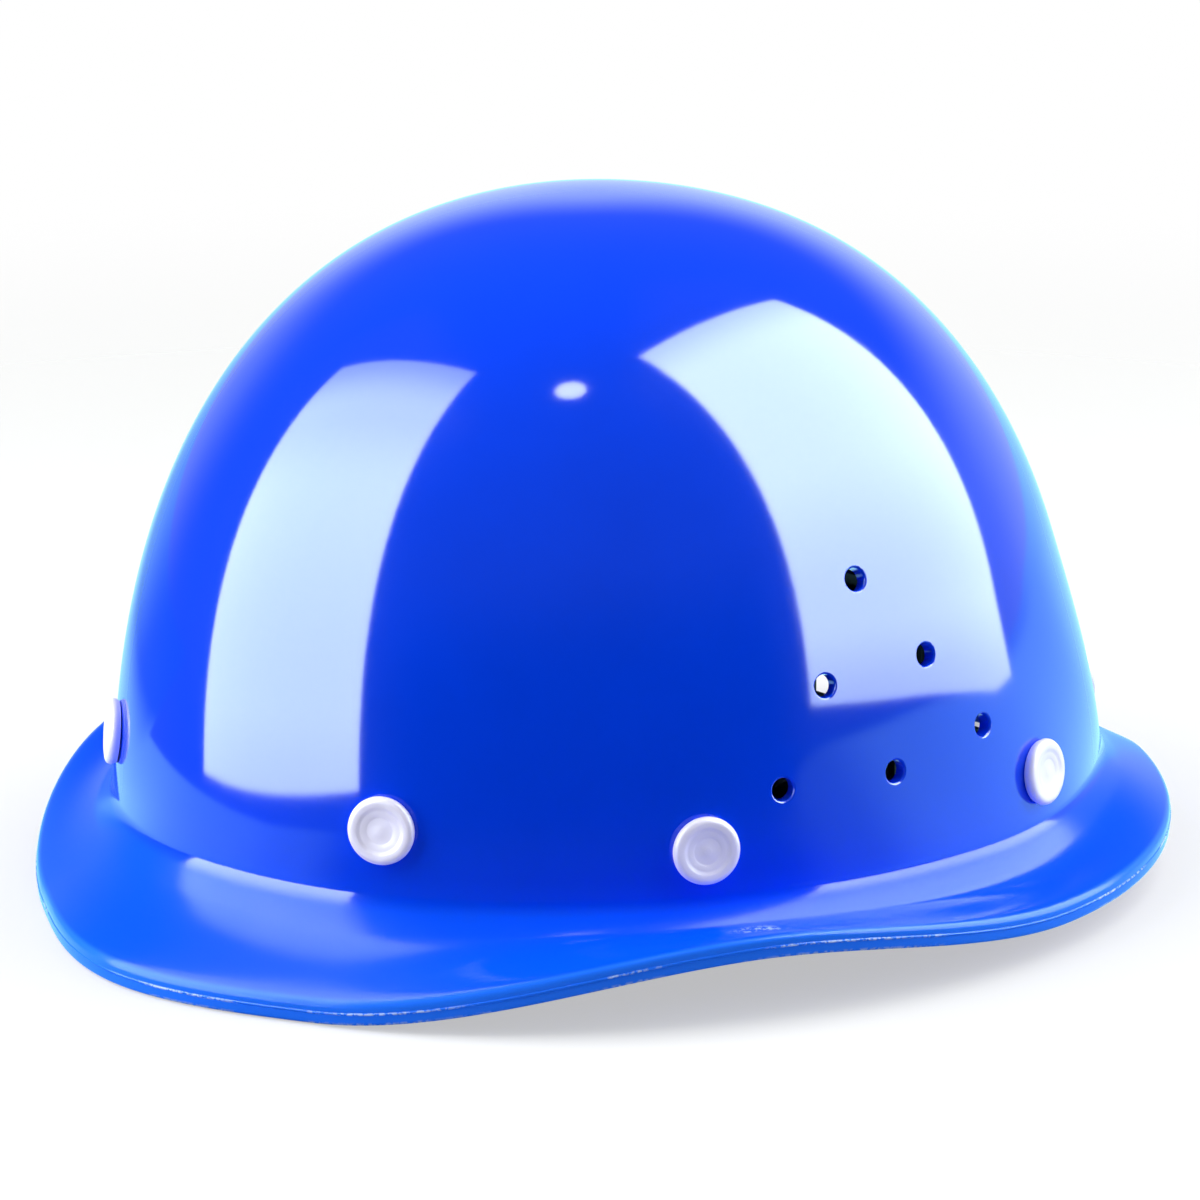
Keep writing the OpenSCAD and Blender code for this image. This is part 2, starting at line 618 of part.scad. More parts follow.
// places a part on the knob's axis, with +Z towards the back
module on_knob_axis(y) {
    translate([0, y, knob_z]) rotate([-90, 0, 0]) children();
}
module pinion() {
    step = 360 / pinion_n;
    root = tooth_w + 2 * dedendum * tan(14);
    tip = tooth_w - 2 * addendum * tan(20);
    hub_r = pitch_r / 2;
    color("silver") {
        on_knob_axis(gear_from) {
            cylinder(r = pitch_r - dedendum, h = gear_to - gear_from, $fn = 40);
            for (k = [0:pinion_n - 1]) rotate([0, 0, (k + 0.5) * step + 90])
                linear_extrude(gear_to - gear_from) polygon([
                    [hub_r, -root / 2], [pitch_r - dedendum, -root / 2], [pitch_r, -tooth_w / 2],
                    [pitch_r + addendum, -tip / 2], [pitch_r + addendum, tip / 2], [pitch_r, tooth_w / 2],
                    [pitch_r - dedendum, root / 2], [hub_r, root / 2]]);
        }
        on_knob_axis(gear_from - 1.2) cylinder(d = pilot_d, h = 2, $fn = 32);
        on_knob_axis(gear_to - 0.5) cylinder(d = shaft_d, h = knob_from + 3 - gear_to + 0.5, $fn = 32);
        on_knob_axis(detent_from) difference() {
            cylinder(r = detent_r, h = detent_t, $fn = 48);
            for (k = [0:clicks - 1]) rotate([0, 0, k * 360 / clicks]) translate([detent_r + 0.4, 0, -1])
                cylinder(r = 1, h = detent_t + 2, $fn = 16);
        }
    }
}
module detent_spring() {
    color("gainsboro") on_knob_axis(detent_from) {
        rotate([0, 0, 20]) rotate_extrude(angle = 130, $fn = 64)
            translate([detent_r + 1.1, 0]) square([0.6, detent_t]);
        rotate([0, 0, 18]) rotate_extrude(angle = 12, $fn = 64)
            translate([detent_r + 0.9, 0]) square([1.4, detent_t]);
        rotate([0, 0, 90]) translate([detent_r + 1, 0, 0]) cylinder(r = 0.7, h = detent_t, $fn = 24);
    }
}
module housing_block(y1, y2) {
    translate([-housing_half_w, y1, knob_z - housing_half_h])
        cube([2 * housing_half_w, y2 - y1, 2 * housing_half_h]);
}
module ratchet_base() {
    half_turn = asin(housing_half_w / base_out);
    color([0.1, 0.1, 0.11]) difference() {
        ring_part(base_out - base_t, base_out, -half_turn, half_turn,
            knob_z - housing_half_h, 2 * housing_half_h);
        on_knob_axis(band_y + base_out - 5) cylinder(d = pilot_d + 0.2, h = 10, $fn = 32);
    }
}
module ratchet_cover() {
    h = tail_half_h + run_gap;
    corner = 6;
    block_from = band_y + base_out * 0.75;
    shaft_gap = 0.06;
    color([0.1, 0.1, 0.11]) difference() {
        intersection() {
            housing_block(block_from, housing_to);
            on_knob_axis(block_from) linear_extrude(housing_to - block_from)
                hull() for (x = [-1, 1], z = [-1, 1])
                    translate([x * (housing_half_w - corner), z * (housing_half_h - corner)])
                        circle(corner, $fn = 32);
        }
        translate([0, band_y, knob_z - 2 * housing_half_h])
            cylinder(r = base_out + 0.1, h = 4 * housing_half_h, $fn = 128);
        translate([0, band_y, knob_z - h]) cylinder(r = tails_out + run_gap, h = 2 * h, $fn = 128);
        on_knob_axis(gear_to - 3)
            cylinder(r = detent_r + 2.5, h = detent_from + detent_t + 0.8 - gear_to + 3, $fn = 48);
        on_knob_axis(gear_to) cylinder(d = shaft_d + 2 * shaft_gap, h = knob_from - gear_to + 1, $fn = 32);
    }
}
// knob: a cup with finger grooves round it and a bar across its dished face
module knob() {
    r = knob_d / 2;
    color([0.1, 0.1, 0.11]) on_knob_axis(knob_from) difference() {
        rotate_extrude($fn = 64) polygon([[0, 0], [r - 0.8, 0], [r, 0.8],
            [r, knob_h - 2.2], [r - 0.7, knob_h - 0.8], [r - 2.2, knob_h],
            [r - 3.4, knob_h - 0.4], [r - 4.6, knob_h - 1.6], [0, knob_h - 2]]);
        for (k = [0:11]) rotate([0, 0, (k + 0.5) * 30]) translate([r + 1.6, 0, 2])
            cylinder(r = 2.4, h = knob_h, $fn = 24);
        translate([0, 0, -1]) cylinder(d = shaft_d, h = 4, $fn = 32);
    }
}

// chin strap: pins in the headband's bosses, clips that swing on them, webbing, buckle and slider
module chin_pins() {
    color("whitesmoke") for (s = [1, -1]) pin_place(s) {
        translate([0, 0, boss_in - 1.8])
            cylinder(d = pin_d, h = chin_half + clip_t / 2 + 2.6 - boss_in, $fn = 32);
        translate([0, 0, boss_in - 2]) cylinder(r = pin_head_r, h = 1.2, $fn = 32);
        translate([0, 0, chin_half + clip_t / 2 + 0.3]) cylinder(r = pin_head_r, h = 1.4, $fn = 32);
    }
}
module chin_clip(s) {
    color("whitesmoke") difference() {
        translate([s * chin_half - clip_t / 2, 0, 0]) rotate([90, 0, 90]) linear_extrude(clip_t)
            difference() {
                hull() {
                    translate([pivot_y, pivot_z]) circle(boss_r + 0.4, $fn = 32);
                    translate([clip_bar_y - 7, 0]) square([bar_half + 7, clip_w]);
                }
                translate([clip_bar_y - bar_half - 3, chin_z - 0.4]) square([3, chin_w + 0.8]);
            }
        pin_place(s) translate([0, 0, chin_half - 5]) cylinder(d = pin_d + 2 * pin_gap, h = 10, $fn = 32);
    }
}
module chin_clip_left() chin_clip(1);
module chin_clip_right() chin_clip(-1);

// webbing on its edge: along the side from the clip's bar, round the bend, and along the back to x = end
module chin_run(s, end, inset, from_y) {
    r = chin_bend - inset;
    x = chin_half - inset;
    y = chin_y - inset;
    translate([s * x - web_t / 2, from_y, chin_z]) cube([web_t, y - r - from_y, chin_w]);
    translate([s * (x - r), y - r, chin_z]) rotate([0, 0, s > 0 ? 0 : 90])
        rotate_extrude(angle = 90, $fn = 72) translate([r - web_t / 2, 0]) square([web_t, chin_w]);
    translate([min(s * (x - r), end), y - web_t / 2, chin_z])
        cube([abs(s * (x - r) - end), web_t, chin_w]);
}
module hem_ring(x, y, r) {
    translate([x, y, chin_z]) difference() {
        cylinder(r = r + web_t, h = chin_w, $fn = 32);
        translate([0, 0, -1]) cylinder(r = r, h = chin_w + 2, $fn = 32);
    }
}
module chin_strap_left() {
    color([0.08, 0.08, 0.09]) {
        hem_ring(chin_half, clip_bar_y, hem_r);
        chin_run(1, socket_bar + socket_bar_r + 0.7 + web_t / 2, 0, run_from);
        hem_ring(socket_bar, chin_y, socket_bar_r + 0.7);
    }
}
module chin_strap_right() {
    color([0.08, 0.08, 0.09]) {
        hem_ring(-chin_half, clip_bar_y, hem_r);
        chin_run(-1, slider_x - 1, strap_lap, run_from);
    }
}
// free end of the webbing, which the plug draws through the slider
module chin_strap_tail() {
    color([0.08, 0.08, 0.09]) translate([slider_x - plug_travel, chin_y - web_t / 2, chin_z])
        cube([buckle_x - 8 - slider_x + plug_travel, web_t, chin_w]);
}
// socket: an open box with two side windows and a bar for the webbing
module buckle_socket() {
    l = 16;
    inner_t = buckle_t - 2.4;
    color([0.1, 0.1, 0.11]) translate([buckle_x, chin_y - buckle_t / 2, 0]) difference() {
        union() {
            cube([l, buckle_t, clip_w]);
            for (z = [0, clip_w - 1.7]) translate([l - 0.1, buckle_t / 2 - 1.5, z]) cube([6, 3, 1.7]);
            translate([socket_bar - buckle_x, buckle_t / 2, 0])
                cylinder(r = socket_bar_r, h = clip_w, $fn = 24);
        }
        translate([-1, 1.2, 1.4]) cube([l - 0.4, inner_t, clip_w - 2.8]);
        for (z = [-1, clip_w - 2]) translate([5, 1.2, z]) cube([8, inner_t, 3]);
    }
}
// plug: two spring arms and a middle tongue on a base that the webbing runs through
module buckle_plug() {
    t = buckle_t - 3;
    color([0.1, 0.1, 0.11]) translate([buckle_x, chin_y, clip_w / 2]) difference() {
        union() {
            translate([-13, -buckle_t / 2, -clip_w / 2]) cube([12.6, buckle_t, clip_w]);
            translate([-0.6, -t / 2, -1.2]) cube([13, t, 2.4]);
            for (s = [1, -1]) translate([0, 0, s * (clip_w / 2 - 2.9)]) {
                translate([-0.6, -t / 2, -0.9]) cube([12, t, 1.8]);
                translate([9, 0, s * 0.3]) rotate([90, 0, 0]) cylinder(r = 1, h = t, center = true, $fn = 24);
            }
        }
        translate([-14, -web_t / 2 - 0.4, -chin_w / 2 - 0.4]) cube([14 - 3.4, web_t + 0.8, chin_w + 0.8]);
    }
}
// slider: a flat loop that holds the fixed webbing's end and guides the free one
module strap_slider() {
    l = 9;
    inside = 2 * web_t + 1.1;
    color([0.1, 0.1, 0.11]) translate([slider_x, chin_y - strap_lap / 2, chin_z + chin_w / 2]) difference() {
        cube([l, inside + 2.4, clip_w], center = true);
        cube([l + 2, inside, chin_w + 0.7], center = true);
    }
}

shell();
rivets();
rivet_washers();
hanger_front_left();
hanger_front_right();
hanger_temple_left();
hanger_temple_right();
hanger_ear_left();
hanger_ear_right();
hanger_rear_left();
hanger_rear_right();
crown_strap_1();
crown_strap_2();
crown_strap_3();
crown_strap_4();
crown_pad();
headband();
sweatband();
nape_pad();
tail_left();
tail_right();
ratchet_base();
ratchet_cover();
detent_spring();
pinion();
knob();
chin_pins();
chin_clip_left();
chin_clip_right();
chin_strap_left();
chin_strap_right();
chin_strap_tail();
buckle_socket();
buckle_plug();
strap_slider();
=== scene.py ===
import json
import math
from functools import cache

import bmesh
import bpy
import numpy as np
from mathutils import Matrix, Vector
from mathutils.bvhtree import BVHTree


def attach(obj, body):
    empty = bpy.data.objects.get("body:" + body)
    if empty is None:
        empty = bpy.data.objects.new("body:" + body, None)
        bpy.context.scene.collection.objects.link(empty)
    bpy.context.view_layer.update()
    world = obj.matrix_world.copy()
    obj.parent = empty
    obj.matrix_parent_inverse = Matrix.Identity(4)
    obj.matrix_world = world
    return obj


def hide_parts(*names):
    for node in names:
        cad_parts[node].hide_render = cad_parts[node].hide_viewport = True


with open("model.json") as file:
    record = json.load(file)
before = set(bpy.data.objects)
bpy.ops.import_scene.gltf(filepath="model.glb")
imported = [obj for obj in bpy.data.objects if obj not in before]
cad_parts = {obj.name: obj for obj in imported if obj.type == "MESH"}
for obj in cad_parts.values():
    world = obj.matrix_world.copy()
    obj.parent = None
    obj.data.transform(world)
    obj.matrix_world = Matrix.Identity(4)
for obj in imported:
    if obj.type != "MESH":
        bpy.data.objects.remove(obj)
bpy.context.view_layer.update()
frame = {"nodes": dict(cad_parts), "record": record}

# Blue work helmet. Metres, +Z up, peak towards -Y, wearer's left towards +X.
# Angles round the shell start at the peak and grow towards the wearer's left.

scene = bpy.context.scene
nodes = frame["nodes"]
rootBody = "helmet"


# Camera: the photograph's viewing angle, worked out from the outline of the dome and the rivets.
cameraSettings = {
    "azimuth": 48.08,         # degrees round from the peak, towards the wearer's left
    "elevation": 16.11,
    "distance": 1.254,
    "aimHeight": 0.06012,
    "aimSideways": 0.00217,
    "lensOverWidth": 4.519,   # focal length as a multiple of the frame's width
}


def directionTo(azimuth, elevation):
    az, el = math.radians(azimuth), math.radians(elevation)
    return Vector((math.sin(az) * math.cos(el), -math.cos(az) * math.cos(el), math.sin(el)))


def aimFrom(thing, place, target):
    thing.location = place
    thing.rotation_mode = "QUATERNION"
    thing.rotation_quaternion = (target - place).to_track_quat("-Z", "Y")


def makeCamera(s):
    back, sideways = directionTo(s["azimuth"], s["elevation"]), directionTo(s["azimuth"] + 90, 0)
    data = bpy.data.cameras.new("viewCamera")
    data.sensor_width = 36
    data.lens = s["lensOverWidth"] * data.sensor_width
    data.clip_start, data.clip_end = 0.05, 30
    camera = bpy.data.objects.new("viewCamera", data)
    scene.collection.objects.link(camera)
    target = Vector((0, shell["middleY"], s["aimHeight"])) + sideways * s["aimSideways"]
    aimFrom(camera, target + back * s["distance"], target)
    scene.camera = camera


# Shell: the same curves as the moulding's construction, drawn finely.
shell = {
    "halfWidth": 0.107, "halfLength": 0.117, "height": 0.1558,
    "middleY": -0.0005,
    "egg": 0.08, "power": 2.38, "taper": 0.06,
    "creaseHeight": 0.0202, "creaseRise": 0.0012,
    "brimLift": [(0, 0), (104, 0), (138, 0.0045), (180, 0.001)],   # how much higher the brim joins the dome
    "wall": 0.003, "filletHeight": 0.0036, "filletToe": 0.0042,
    "lipHeight": 0.005, "lipThickness": 0.0034,
    "napeFlare": 0.004, "flareShare": 0.42,
    "flareRun": [(0, 0), (90, 0), (138, 1), (180, 1)],
    "brimDish": [(0, 0.0018), (40, 0.0018), (72, 0.003), (104, 0.003), (138, 0.0005), (180, 0.0005)],
    "brimWidths": [(0, 0.0226), (25, 0.0178), (72, 0.0178), (104, 0.0184), (150, 0.0152), (180, 0.0196)],
    "rimHeights": [(0, 0), (23, 0), (69, 0.0144), (104, 0.0066), (150, 0.0094), (174, 0), (180, 0)],
    "topRound": 0.0014, "lowRound": 0.0009, "insideRound": 0.0006,
    "flashLine": 0.0027, "flashDepth": 0.00016,     # the mould's parting line round the lip, above its foot
    # the line's section: shares of flashDepth outwards, and heights above or below the line
    "flashSection": [(0, 0.0003), (1, 0.0001), (1, -0.0001), (-0.6, -0.00035), (-0.3, -0.0007)],
    # the gel coat's marks, made only below markedBelow: where the brim's finish and its painted light start, and
    # where the painted light on the lip's face starts
    "markedBelow": 0.036, "brimStart": -0.0004, "brimBlend": 0.0013, "lipPaintedLightBand": 0.0012, "lipPaintedLightBlend": 0.0006,
    "sharpAngle": 32,
    "around": 360, "domeRings": 84, "innerRings": 48,
}
vents = {
    "bore": 0.005, "edgeRound": 0.0007, "cutDepth": 0.012,
    "lowestRow": 0.0472, "rowRise": 0.0198, "pitch": 0.0278, "ahead": 0.0058,
    "turn": 4.5,              # degrees, with the triangle's back corner up
    "drop": 0.0026,           # how much lower the middle vent of the lowest row is
}
rivets = {
    "capDiameter": 0.015, "capHeight": 0.0026, "stemDiameter": 0.005, "stemLength": 0.0086,
    "capEdge": 0.0013, "holeGap": 0.0001,
    # the cap's dished face from its rim to its middle: distances from the middle, and depths
    "face": [(0.0054, 0.00002), (0.0051, 0.0001), (0.0047, 0.0003), (0.0043, 0.00036), (0.0033, 0.00038),
             (0.0031, 0.00046), (0.0028, 0.0005), (0.0012, 0.00048), (0.0009, 0.00044), (0.0007, 0.00042),
             (0, 0.00042)],
    "angles": [28.5, 64.5, 111.5, 151.5], "heights": [0.0387, 0.034, 0.034, 0.034],
}


def foldAngle(a):
    return np.abs((np.degrees(a) + 180) % 360 - 180)


def smoothRun(knots, degrees):
    xs, ys = np.array(knots, float).T
    i = np.clip(np.searchsorted(xs, degrees, side="right") - 1, 0, len(xs) - 2)
    u = np.clip((degrees - xs[i]) / (xs[i + 1] - xs[i]), 0, 1)
    return ys[i] + (ys[i + 1] - ys[i]) * u * u * (3 - 2 * u)


def creaseAt(a):
    return shell["creaseHeight"] + shell["creaseRise"] * np.cos(a)


def outlineAt(a, inset=0.0):
    return np.stack([(shell["halfWidth"] - inset) * np.sin(a) * (1 - shell["egg"] * np.cos(a)),
                     -(shell["halfLength"] - inset) * np.cos(a)], -1)


def outwardAt(a):
    step = outlineAt(a + 0.002) - outlineAt(a - 0.002)
    step /= np.linalg.norm(step, axis=-1, keepdims=True)
    return np.stack([step[..., 1], -step[..., 0]], -1)


def reachAt(t):
    t = np.clip(t, 0, 1)
    return (1 - shell["taper"]) * (1 - t ** shell["power"]) ** (1 / shell["power"]) + shell["taper"] * (1 - t)


def flareAt(a, t):
    # the dome's foot flares out behind the ears
    low = np.clip(1 - np.clip(t, 0, None) / shell["flareShare"], 0, 1)
    return shell["napeFlare"] * smoothRun(shell["flareRun"], foldAngle(a)) * low * low * (3 - 2 * low)


def domePoint(a, z, inset=0.0):
    t = (z - creaseAt(a)) / (shell["height"] - inset - creaseAt(a))
    p = outlineAt(a, inset) * reachAt(t)[..., None] + outwardAt(a) * flareAt(a, t)[..., None]
    return np.stack([p[..., 0], p[..., 1] + shell["middleY"], z + 0 * a], -1)


def domeNormal(a, z, inset=0.0):
    roundIt = domePoint(a + 0.004, z, inset) - domePoint(a - 0.004, z, inset)
    upIt = domePoint(a, z + 0.0002, inset) - domePoint(a, z - 0.0002, inset)
    n = np.cross(roundIt, upIt)
    return n / np.linalg.norm(n, axis=-1, keepdims=True)


def bend(p, q, r, steps, last=True):
    # points of a parabola from p to r that leaves and arrives along the lines to q
    us = [j / steps for j in range(1, steps + (1 if last else 0))]
    return [p * (1 - u) ** 2 + q * 2 * u * (1 - u) + r * u * u for u in us]


def shellSections():
    a = np.arange(shell["around"]) * 2 * math.pi / shell["around"]
    deg = foldAngle(a)
    out = outwardAt(a)
    base = outlineAt(a) + out * flareAt(a, 0 * a)[:, None]
    w, zb = smoothRun(shell["brimWidths"], deg), smoothRun(shell["rimHeights"], deg)
    lift = smoothRun(shell["brimLift"], deg)
    zc = creaseAt(a) + lift
    # where the brim joins the dome, counted outwards from the outline
    foot = ((domePoint(a, zc)[:, :2] - (0, shell["middleY"]) - base) * out).sum(1)
    zt = zb + shell["lipHeight"]
    slope, sag = (zt - zc) / (w - foot), smoothRun(shell["brimDish"], deg)
    drop = shell["wall"] * np.sqrt(1 + slope ** 2)
    wall, toe = shell["wall"], shell["filletToe"]
    rt, rl, ri, lip = shell["topRound"], shell["lowRound"], shell["insideRound"], shell["lipThickness"]

    def at(u, z):
        x, y = base[:, 0] + out[:, 0] * u, shell["middleY"] + base[:, 1] + out[:, 1] * u
        return np.stack([x, y, z + 0 * a], -1)

    def line(u):
        share = (u - foot) / (w - foot)
        return zc + slope * (u - foot) - 27 / 4 * sag * share * (1 - share) ** 2

    def top(u):
        return at(u, line(u))

    def under(u):
        return at(u, line(u) - drop)

    def skin(inset, rings):
        rise = shell["height"] - inset - creaseAt(a)
        turn = np.arccos(((shell["filletHeight"] + lift) / rise) ** (shell["power"] / 2))
        return [domePoint(a, creaseAt(a) + rise * np.cos(turn * j / rings) ** (2 / shell["power"]), inset)
                for j in range(1, rings + 1)]

    outer, inner = skin(0.0, shell["domeRings"]), skin(wall, shell["innerRings"])
    rings = list(outer)
    rings += bend(outer[-1], at(foot, zc), top(toe), 14)
    rings += [top(toe + (w - rt - toe) * j / 12) for j in range(1, 13)]
    rings += bend(top(w - rt), at(w, zt - 0.0001), at(w, zt - rt), 8)
    flash, deep = shell["flashLine"], shell["flashDepth"]
    rings += [at(w + deep * share, zb + flash + rise) for share, rise in shell["flashSection"]]
    rings += [at(w, zb + rl)] + bend(at(w, zb + rl), at(w, zb), at(w - rl, zb), 6)
    rings += [at(w - lip + ri, zb)] + bend(at(w - lip + ri, zb), at(w - lip, zb), at(w - lip, zb + ri), 3)
    rings += bend(at(w - lip, zb + ri), under(w - lip), under(w - lip - 0.001), 5)
    rings += [under(w - lip - 0.001 + (toe - w + lip + 0.001) * j / 6) for j in range(1, 7)]
    rings += bend(under(toe), at(foot - wall, zc + slope * wall - drop), inner[-1], 10, last=False)
    rings += inner[::-1]
    return np.stack(rings, 1)


def readOut(items, what, width=1, kind=float):
    values = np.empty(len(items) * width, kind)
    items.foreach_get(what, values)
    return values.reshape(-1, width) if width > 1 else values


def shadeSmooth(mesh, sharpAngle=None):
    mesh.polygons.foreach_set("use_smooth", np.ones(len(mesh.polygons), bool))
    if sharpAngle:
        mesh.set_sharp_from_angle(angle=math.radians(sharpAngle))


def meshFrom(bm, name, sharpAngle=None):
    # closes a bmesh, with its faces turned outwards
    bmesh.ops.recalc_face_normals(bm, faces=bm.faces)
    mesh = bpy.data.meshes.new(name)
    bm.to_mesh(mesh)
    bm.free()
    if sharpAngle:
        shadeSmooth(mesh, sharpAngle)
    return mesh


def newObject(name, mesh):
    piece = bpy.data.objects.new(name, mesh)
    scene.collection.objects.link(piece)
    return piece


def applied(piece):
    done = bpy.data.meshes.new_from_object(piece.evaluated_get(bpy.context.evaluated_depsgraph_get()))
    piece.modifiers.clear()
    before, piece.data = piece.data, done
    bpy.data.meshes.remove(before)


def gridMesh(name, sections, poles):
    n, m = sections.shape[:2]
    verts = np.concatenate([sections.reshape(-1, 3), np.array(poles)])
    faces = []
    for i in range(n):
        h, k = i * m, (i + 1) % n * m
        faces += [(h + j, h + j + 1, k + j + 1, k + j) for j in range(m - 1)]
        faces += [(n * m, h, k), (n * m + 1, k + m - 1, h + m - 1)]
    mesh = bpy.data.meshes.new(name)
    mesh.from_pydata(verts.tolist(), [], faces)
    mesh.update()
    return mesh


def surfaceFrame(a, z):
    # stands a part on the dome, with its +Z along the outward normal
    n = Vector(domeNormal(np.array(a), np.array(z)))
    side = Vector((0, 0, 1)).cross(n).normalized()
    turn = Matrix((side, n.cross(side), n)).transposed().to_4x4()
    return Matrix.Translation(Vector(domePoint(np.array(a), np.array(z)))) @ turn


def angleForY(y, z):
    def yAt(a):
        return domePoint(np.array(a), np.array(z))[1]

    a = math.pi / 2
    for _ in range(8):
        a -= (yAt(a) - y) / ((yAt(a + 0.01) - yAt(a - 0.01)) / 0.02)
    return a


def ventFrames():
    # three, then two, then one, in a triangle that is turned about its middle
    found = []
    turn, middleRow = math.radians(vents["turn"]), 2 / 3
    for row in range(3):
        for i in range(3 - row):
            along = vents["pitch"] * (i - (2 - row) / 2)
            above = vents["rowRise"] * (row - middleRow) - (vents["drop"] if row == 0 and i == 1 else 0)
            y = shell["middleY"] - vents["ahead"] + along * math.cos(turn) - above * math.sin(turn)
            z = vents["lowestRow"] + vents["rowRise"] * middleRow
            z = z + along * math.sin(turn) + above * math.cos(turn)
            a = float(angleForY(y, z))
            found += [surfaceFrame(a, z), surfaceFrame(-a, z)]
    return found


def rivetFrames():
    spots = zip(np.radians(rivets["angles"]), rivets["heights"])
    return [surfaceFrame(sign * a, z) for a, z in spots for sign in (1, -1)]


def latheInto(bm, profile, frameMatrix, steps=64):
    # turns (radius, height) points about the frame's Z; a radius of 0 closes the end
    rings = []
    for r, h in profile:
        if r < 1e-7:
            rings.append([bm.verts.new(frameMatrix @ Vector((0, 0, h)))])
        else:
            rings.append([bm.verts.new(frameMatrix @ Vector((r * math.cos(t), r * math.sin(t), h)))
                          for t in (2 * math.pi * k / steps for k in range(steps))])
    made = []
    for lower, upper in zip(rings, rings[1:]):
        for k in range(steps):
            n = (k + 1) % steps
            ring = [lower[0]] if len(lower) == 1 else [lower[k], lower[n]]
            ring += [upper[0]] if len(upper) == 1 else [upper[n], upper[k]]
            if len(ring) > 2:
                made.append(bm.faces.new(ring))
    return made


def holeCutters():
    bm = bmesh.new()
    r, e, deep = vents["bore"] / 2, vents["edgeRound"], vents["cutDepth"]
    arc = [(r + e - e * math.cos(t), e * math.sin(t) - e) for t in np.radians([0, 15, 30, 45, 60, 72])]
    for m in ventFrames():
        latheInto(bm, [(0, -deep), (r, -deep)] + arc + [(arc[-1][0] + 0.0012, 0.0006), (0, 0.0006)], m, 72)
    r = rivets["stemDiameter"] / 2 + rivets["holeGap"]
    for m in rivetFrames():
        latheInto(bm, [(0, -0.01), (r, -0.01), (r, 0.006), (0, 0.006)], m, 48)
    return newObject("holeCutters", meshFrom(bm, "holeCutters"))


def smoothNormals(mesh):
    # the cut dome keeps its true normals, so that reflections run cleanly past the holes
    shadeSmooth(mesh, shell["sharpAngle"])
    p = readOut(mesh.vertices, "co", 3)[readOut(mesh.loops, "vertex_index", 1, np.int64)]
    loopNormals = readOut(mesh.corner_normals, "vector", 3)
    counts = readOut(mesh.polygons, "loop_total", 1, np.int64)
    faceOfLoop = np.repeat(readOut(mesh.polygons, "normal", 3), counts, axis=0)
    y = p[:, 1] - shell["middleY"]
    a = np.arctan2(p[:, 0] / shell["halfWidth"], -y / shell["halfLength"])
    # finds each corner's angle round the dome, with the flare taken off
    for _ in range(8):
        t = (p[:, 2] - creaseAt(a)) / (shell["height"] - creaseAt(a))
        bare = np.stack([p[:, 0], y], 1) - outwardAt(a) * flareAt(a, t)[:, None]
        error = bare[:, 0] * outlineAt(a)[:, 1] - bare[:, 1] * outlineAt(a)[:, 0]
        nearby = bare[:, 0] * outlineAt(a + 1e-4)[:, 1] - bare[:, 1] * outlineAt(a + 1e-4)[:, 0]
        a -= error * 1e-4 / np.where(np.abs(nearby - error) < 1e-15, 1e-15, nearby - error)
    above = (p[:, 2] > creaseAt(a) + shell["filletHeight"] + 0.0002) & (p[:, 2] < shell["height"] - 0.002)
    true = domeNormal(a, np.where(above, p[:, 2], 0.1))
    onSkin = np.linalg.norm(domePoint(a, np.where(above, p[:, 2], 0.1)) - p, axis=1) < 0.00006
    use = above & onSkin & ((true * faceOfLoop).sum(1) > 0.985)
    loopNormals[use] = true[use]
    mesh.normals_split_custom_set(loopNormals.tolist())


def markBrim(mesh):
    # how far each point is out on the brim, and its height above the lip's foot, for the gel coat
    p = readOut(mesh.vertices, "co", 3)
    low = p[:, 2] < shell["markedBelow"]
    q = p[low]
    a = np.arctan2(q[:, 0], -(q[:, 1] - shell["middleY"]))

    def miss(angle):
        n = outwardAt(angle)
        away = q[:, :2] - (0, shell["middleY"]) - outlineAt(angle) - n * flareAt(angle, 0 * angle)[:, None]
        return away[:, 0] * n[:, 1] - away[:, 1] * n[:, 0], (away * n).sum(1)

    for _ in range(12):
        error = miss(a)[0]
        slope = (miss(a + 1e-4)[0] - error) / 1e-4
        a -= np.clip(error / np.where(np.abs(slope) < 1e-6, 1e-6, slope), -0.1, 0.1)
    out, deg = miss(a)[1], foldAngle(a)
    width = smoothRun(shell["brimWidths"], deg)
    share, height, lipPaintedLightMask = np.zeros(len(p)), np.full(len(p), 0.05), np.zeros(len(p))
    share[low] = np.clip((out - shell["brimStart"]) / shell["brimBlend"], 0, 1)
    height[low] = q[:, 2] - smoothRun(shell["rimHeights"], deg)
    # the lip's face is marked here for painted light from the floor below
    lipPaintedLightMask[low] = np.clip((out - width + shell["lipPaintedLightBand"]) / shell["lipPaintedLightBlend"], 0, 1)
    for name, values in (("brimShare", share), ("lipHeight", height * 1000), ("lipPaintedLightMask", lipPaintedLightMask)):
        mesh.attributes.new(name, "FLOAT", "POINT").data.foreach_set("value", values)


def makeShell():
    print("shell: dome and brim")
    poles = [(0, shell["middleY"], shell["height"]), (0, shell["middleY"], shell["height"] - shell["wall"])]
    grid = gridMesh("shellGrid", shellSections(), poles)
    bm = bmesh.new()
    bm.from_mesh(grid)
    bpy.data.meshes.remove(grid)
    piece = newObject("shellMoulding", meshFrom(bm, "shellMoulding"))
    print("shell: vents and rivet holes")
    cutters = holeCutters()
    cut = piece.modifiers.new("holes", "BOOLEAN")
    cut.operation, cut.solver, cut.object = "DIFFERENCE", "MANIFOLD", cutters
    applied(piece)
    bpy.data.objects.remove(cutters)
    smoothNormals(piece.data)
    markBrim(piece.data)
    piece.data.materials.clear()
    piece.data.materials.append(gelCoat())
    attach(piece, rootBody)
    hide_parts("shell")


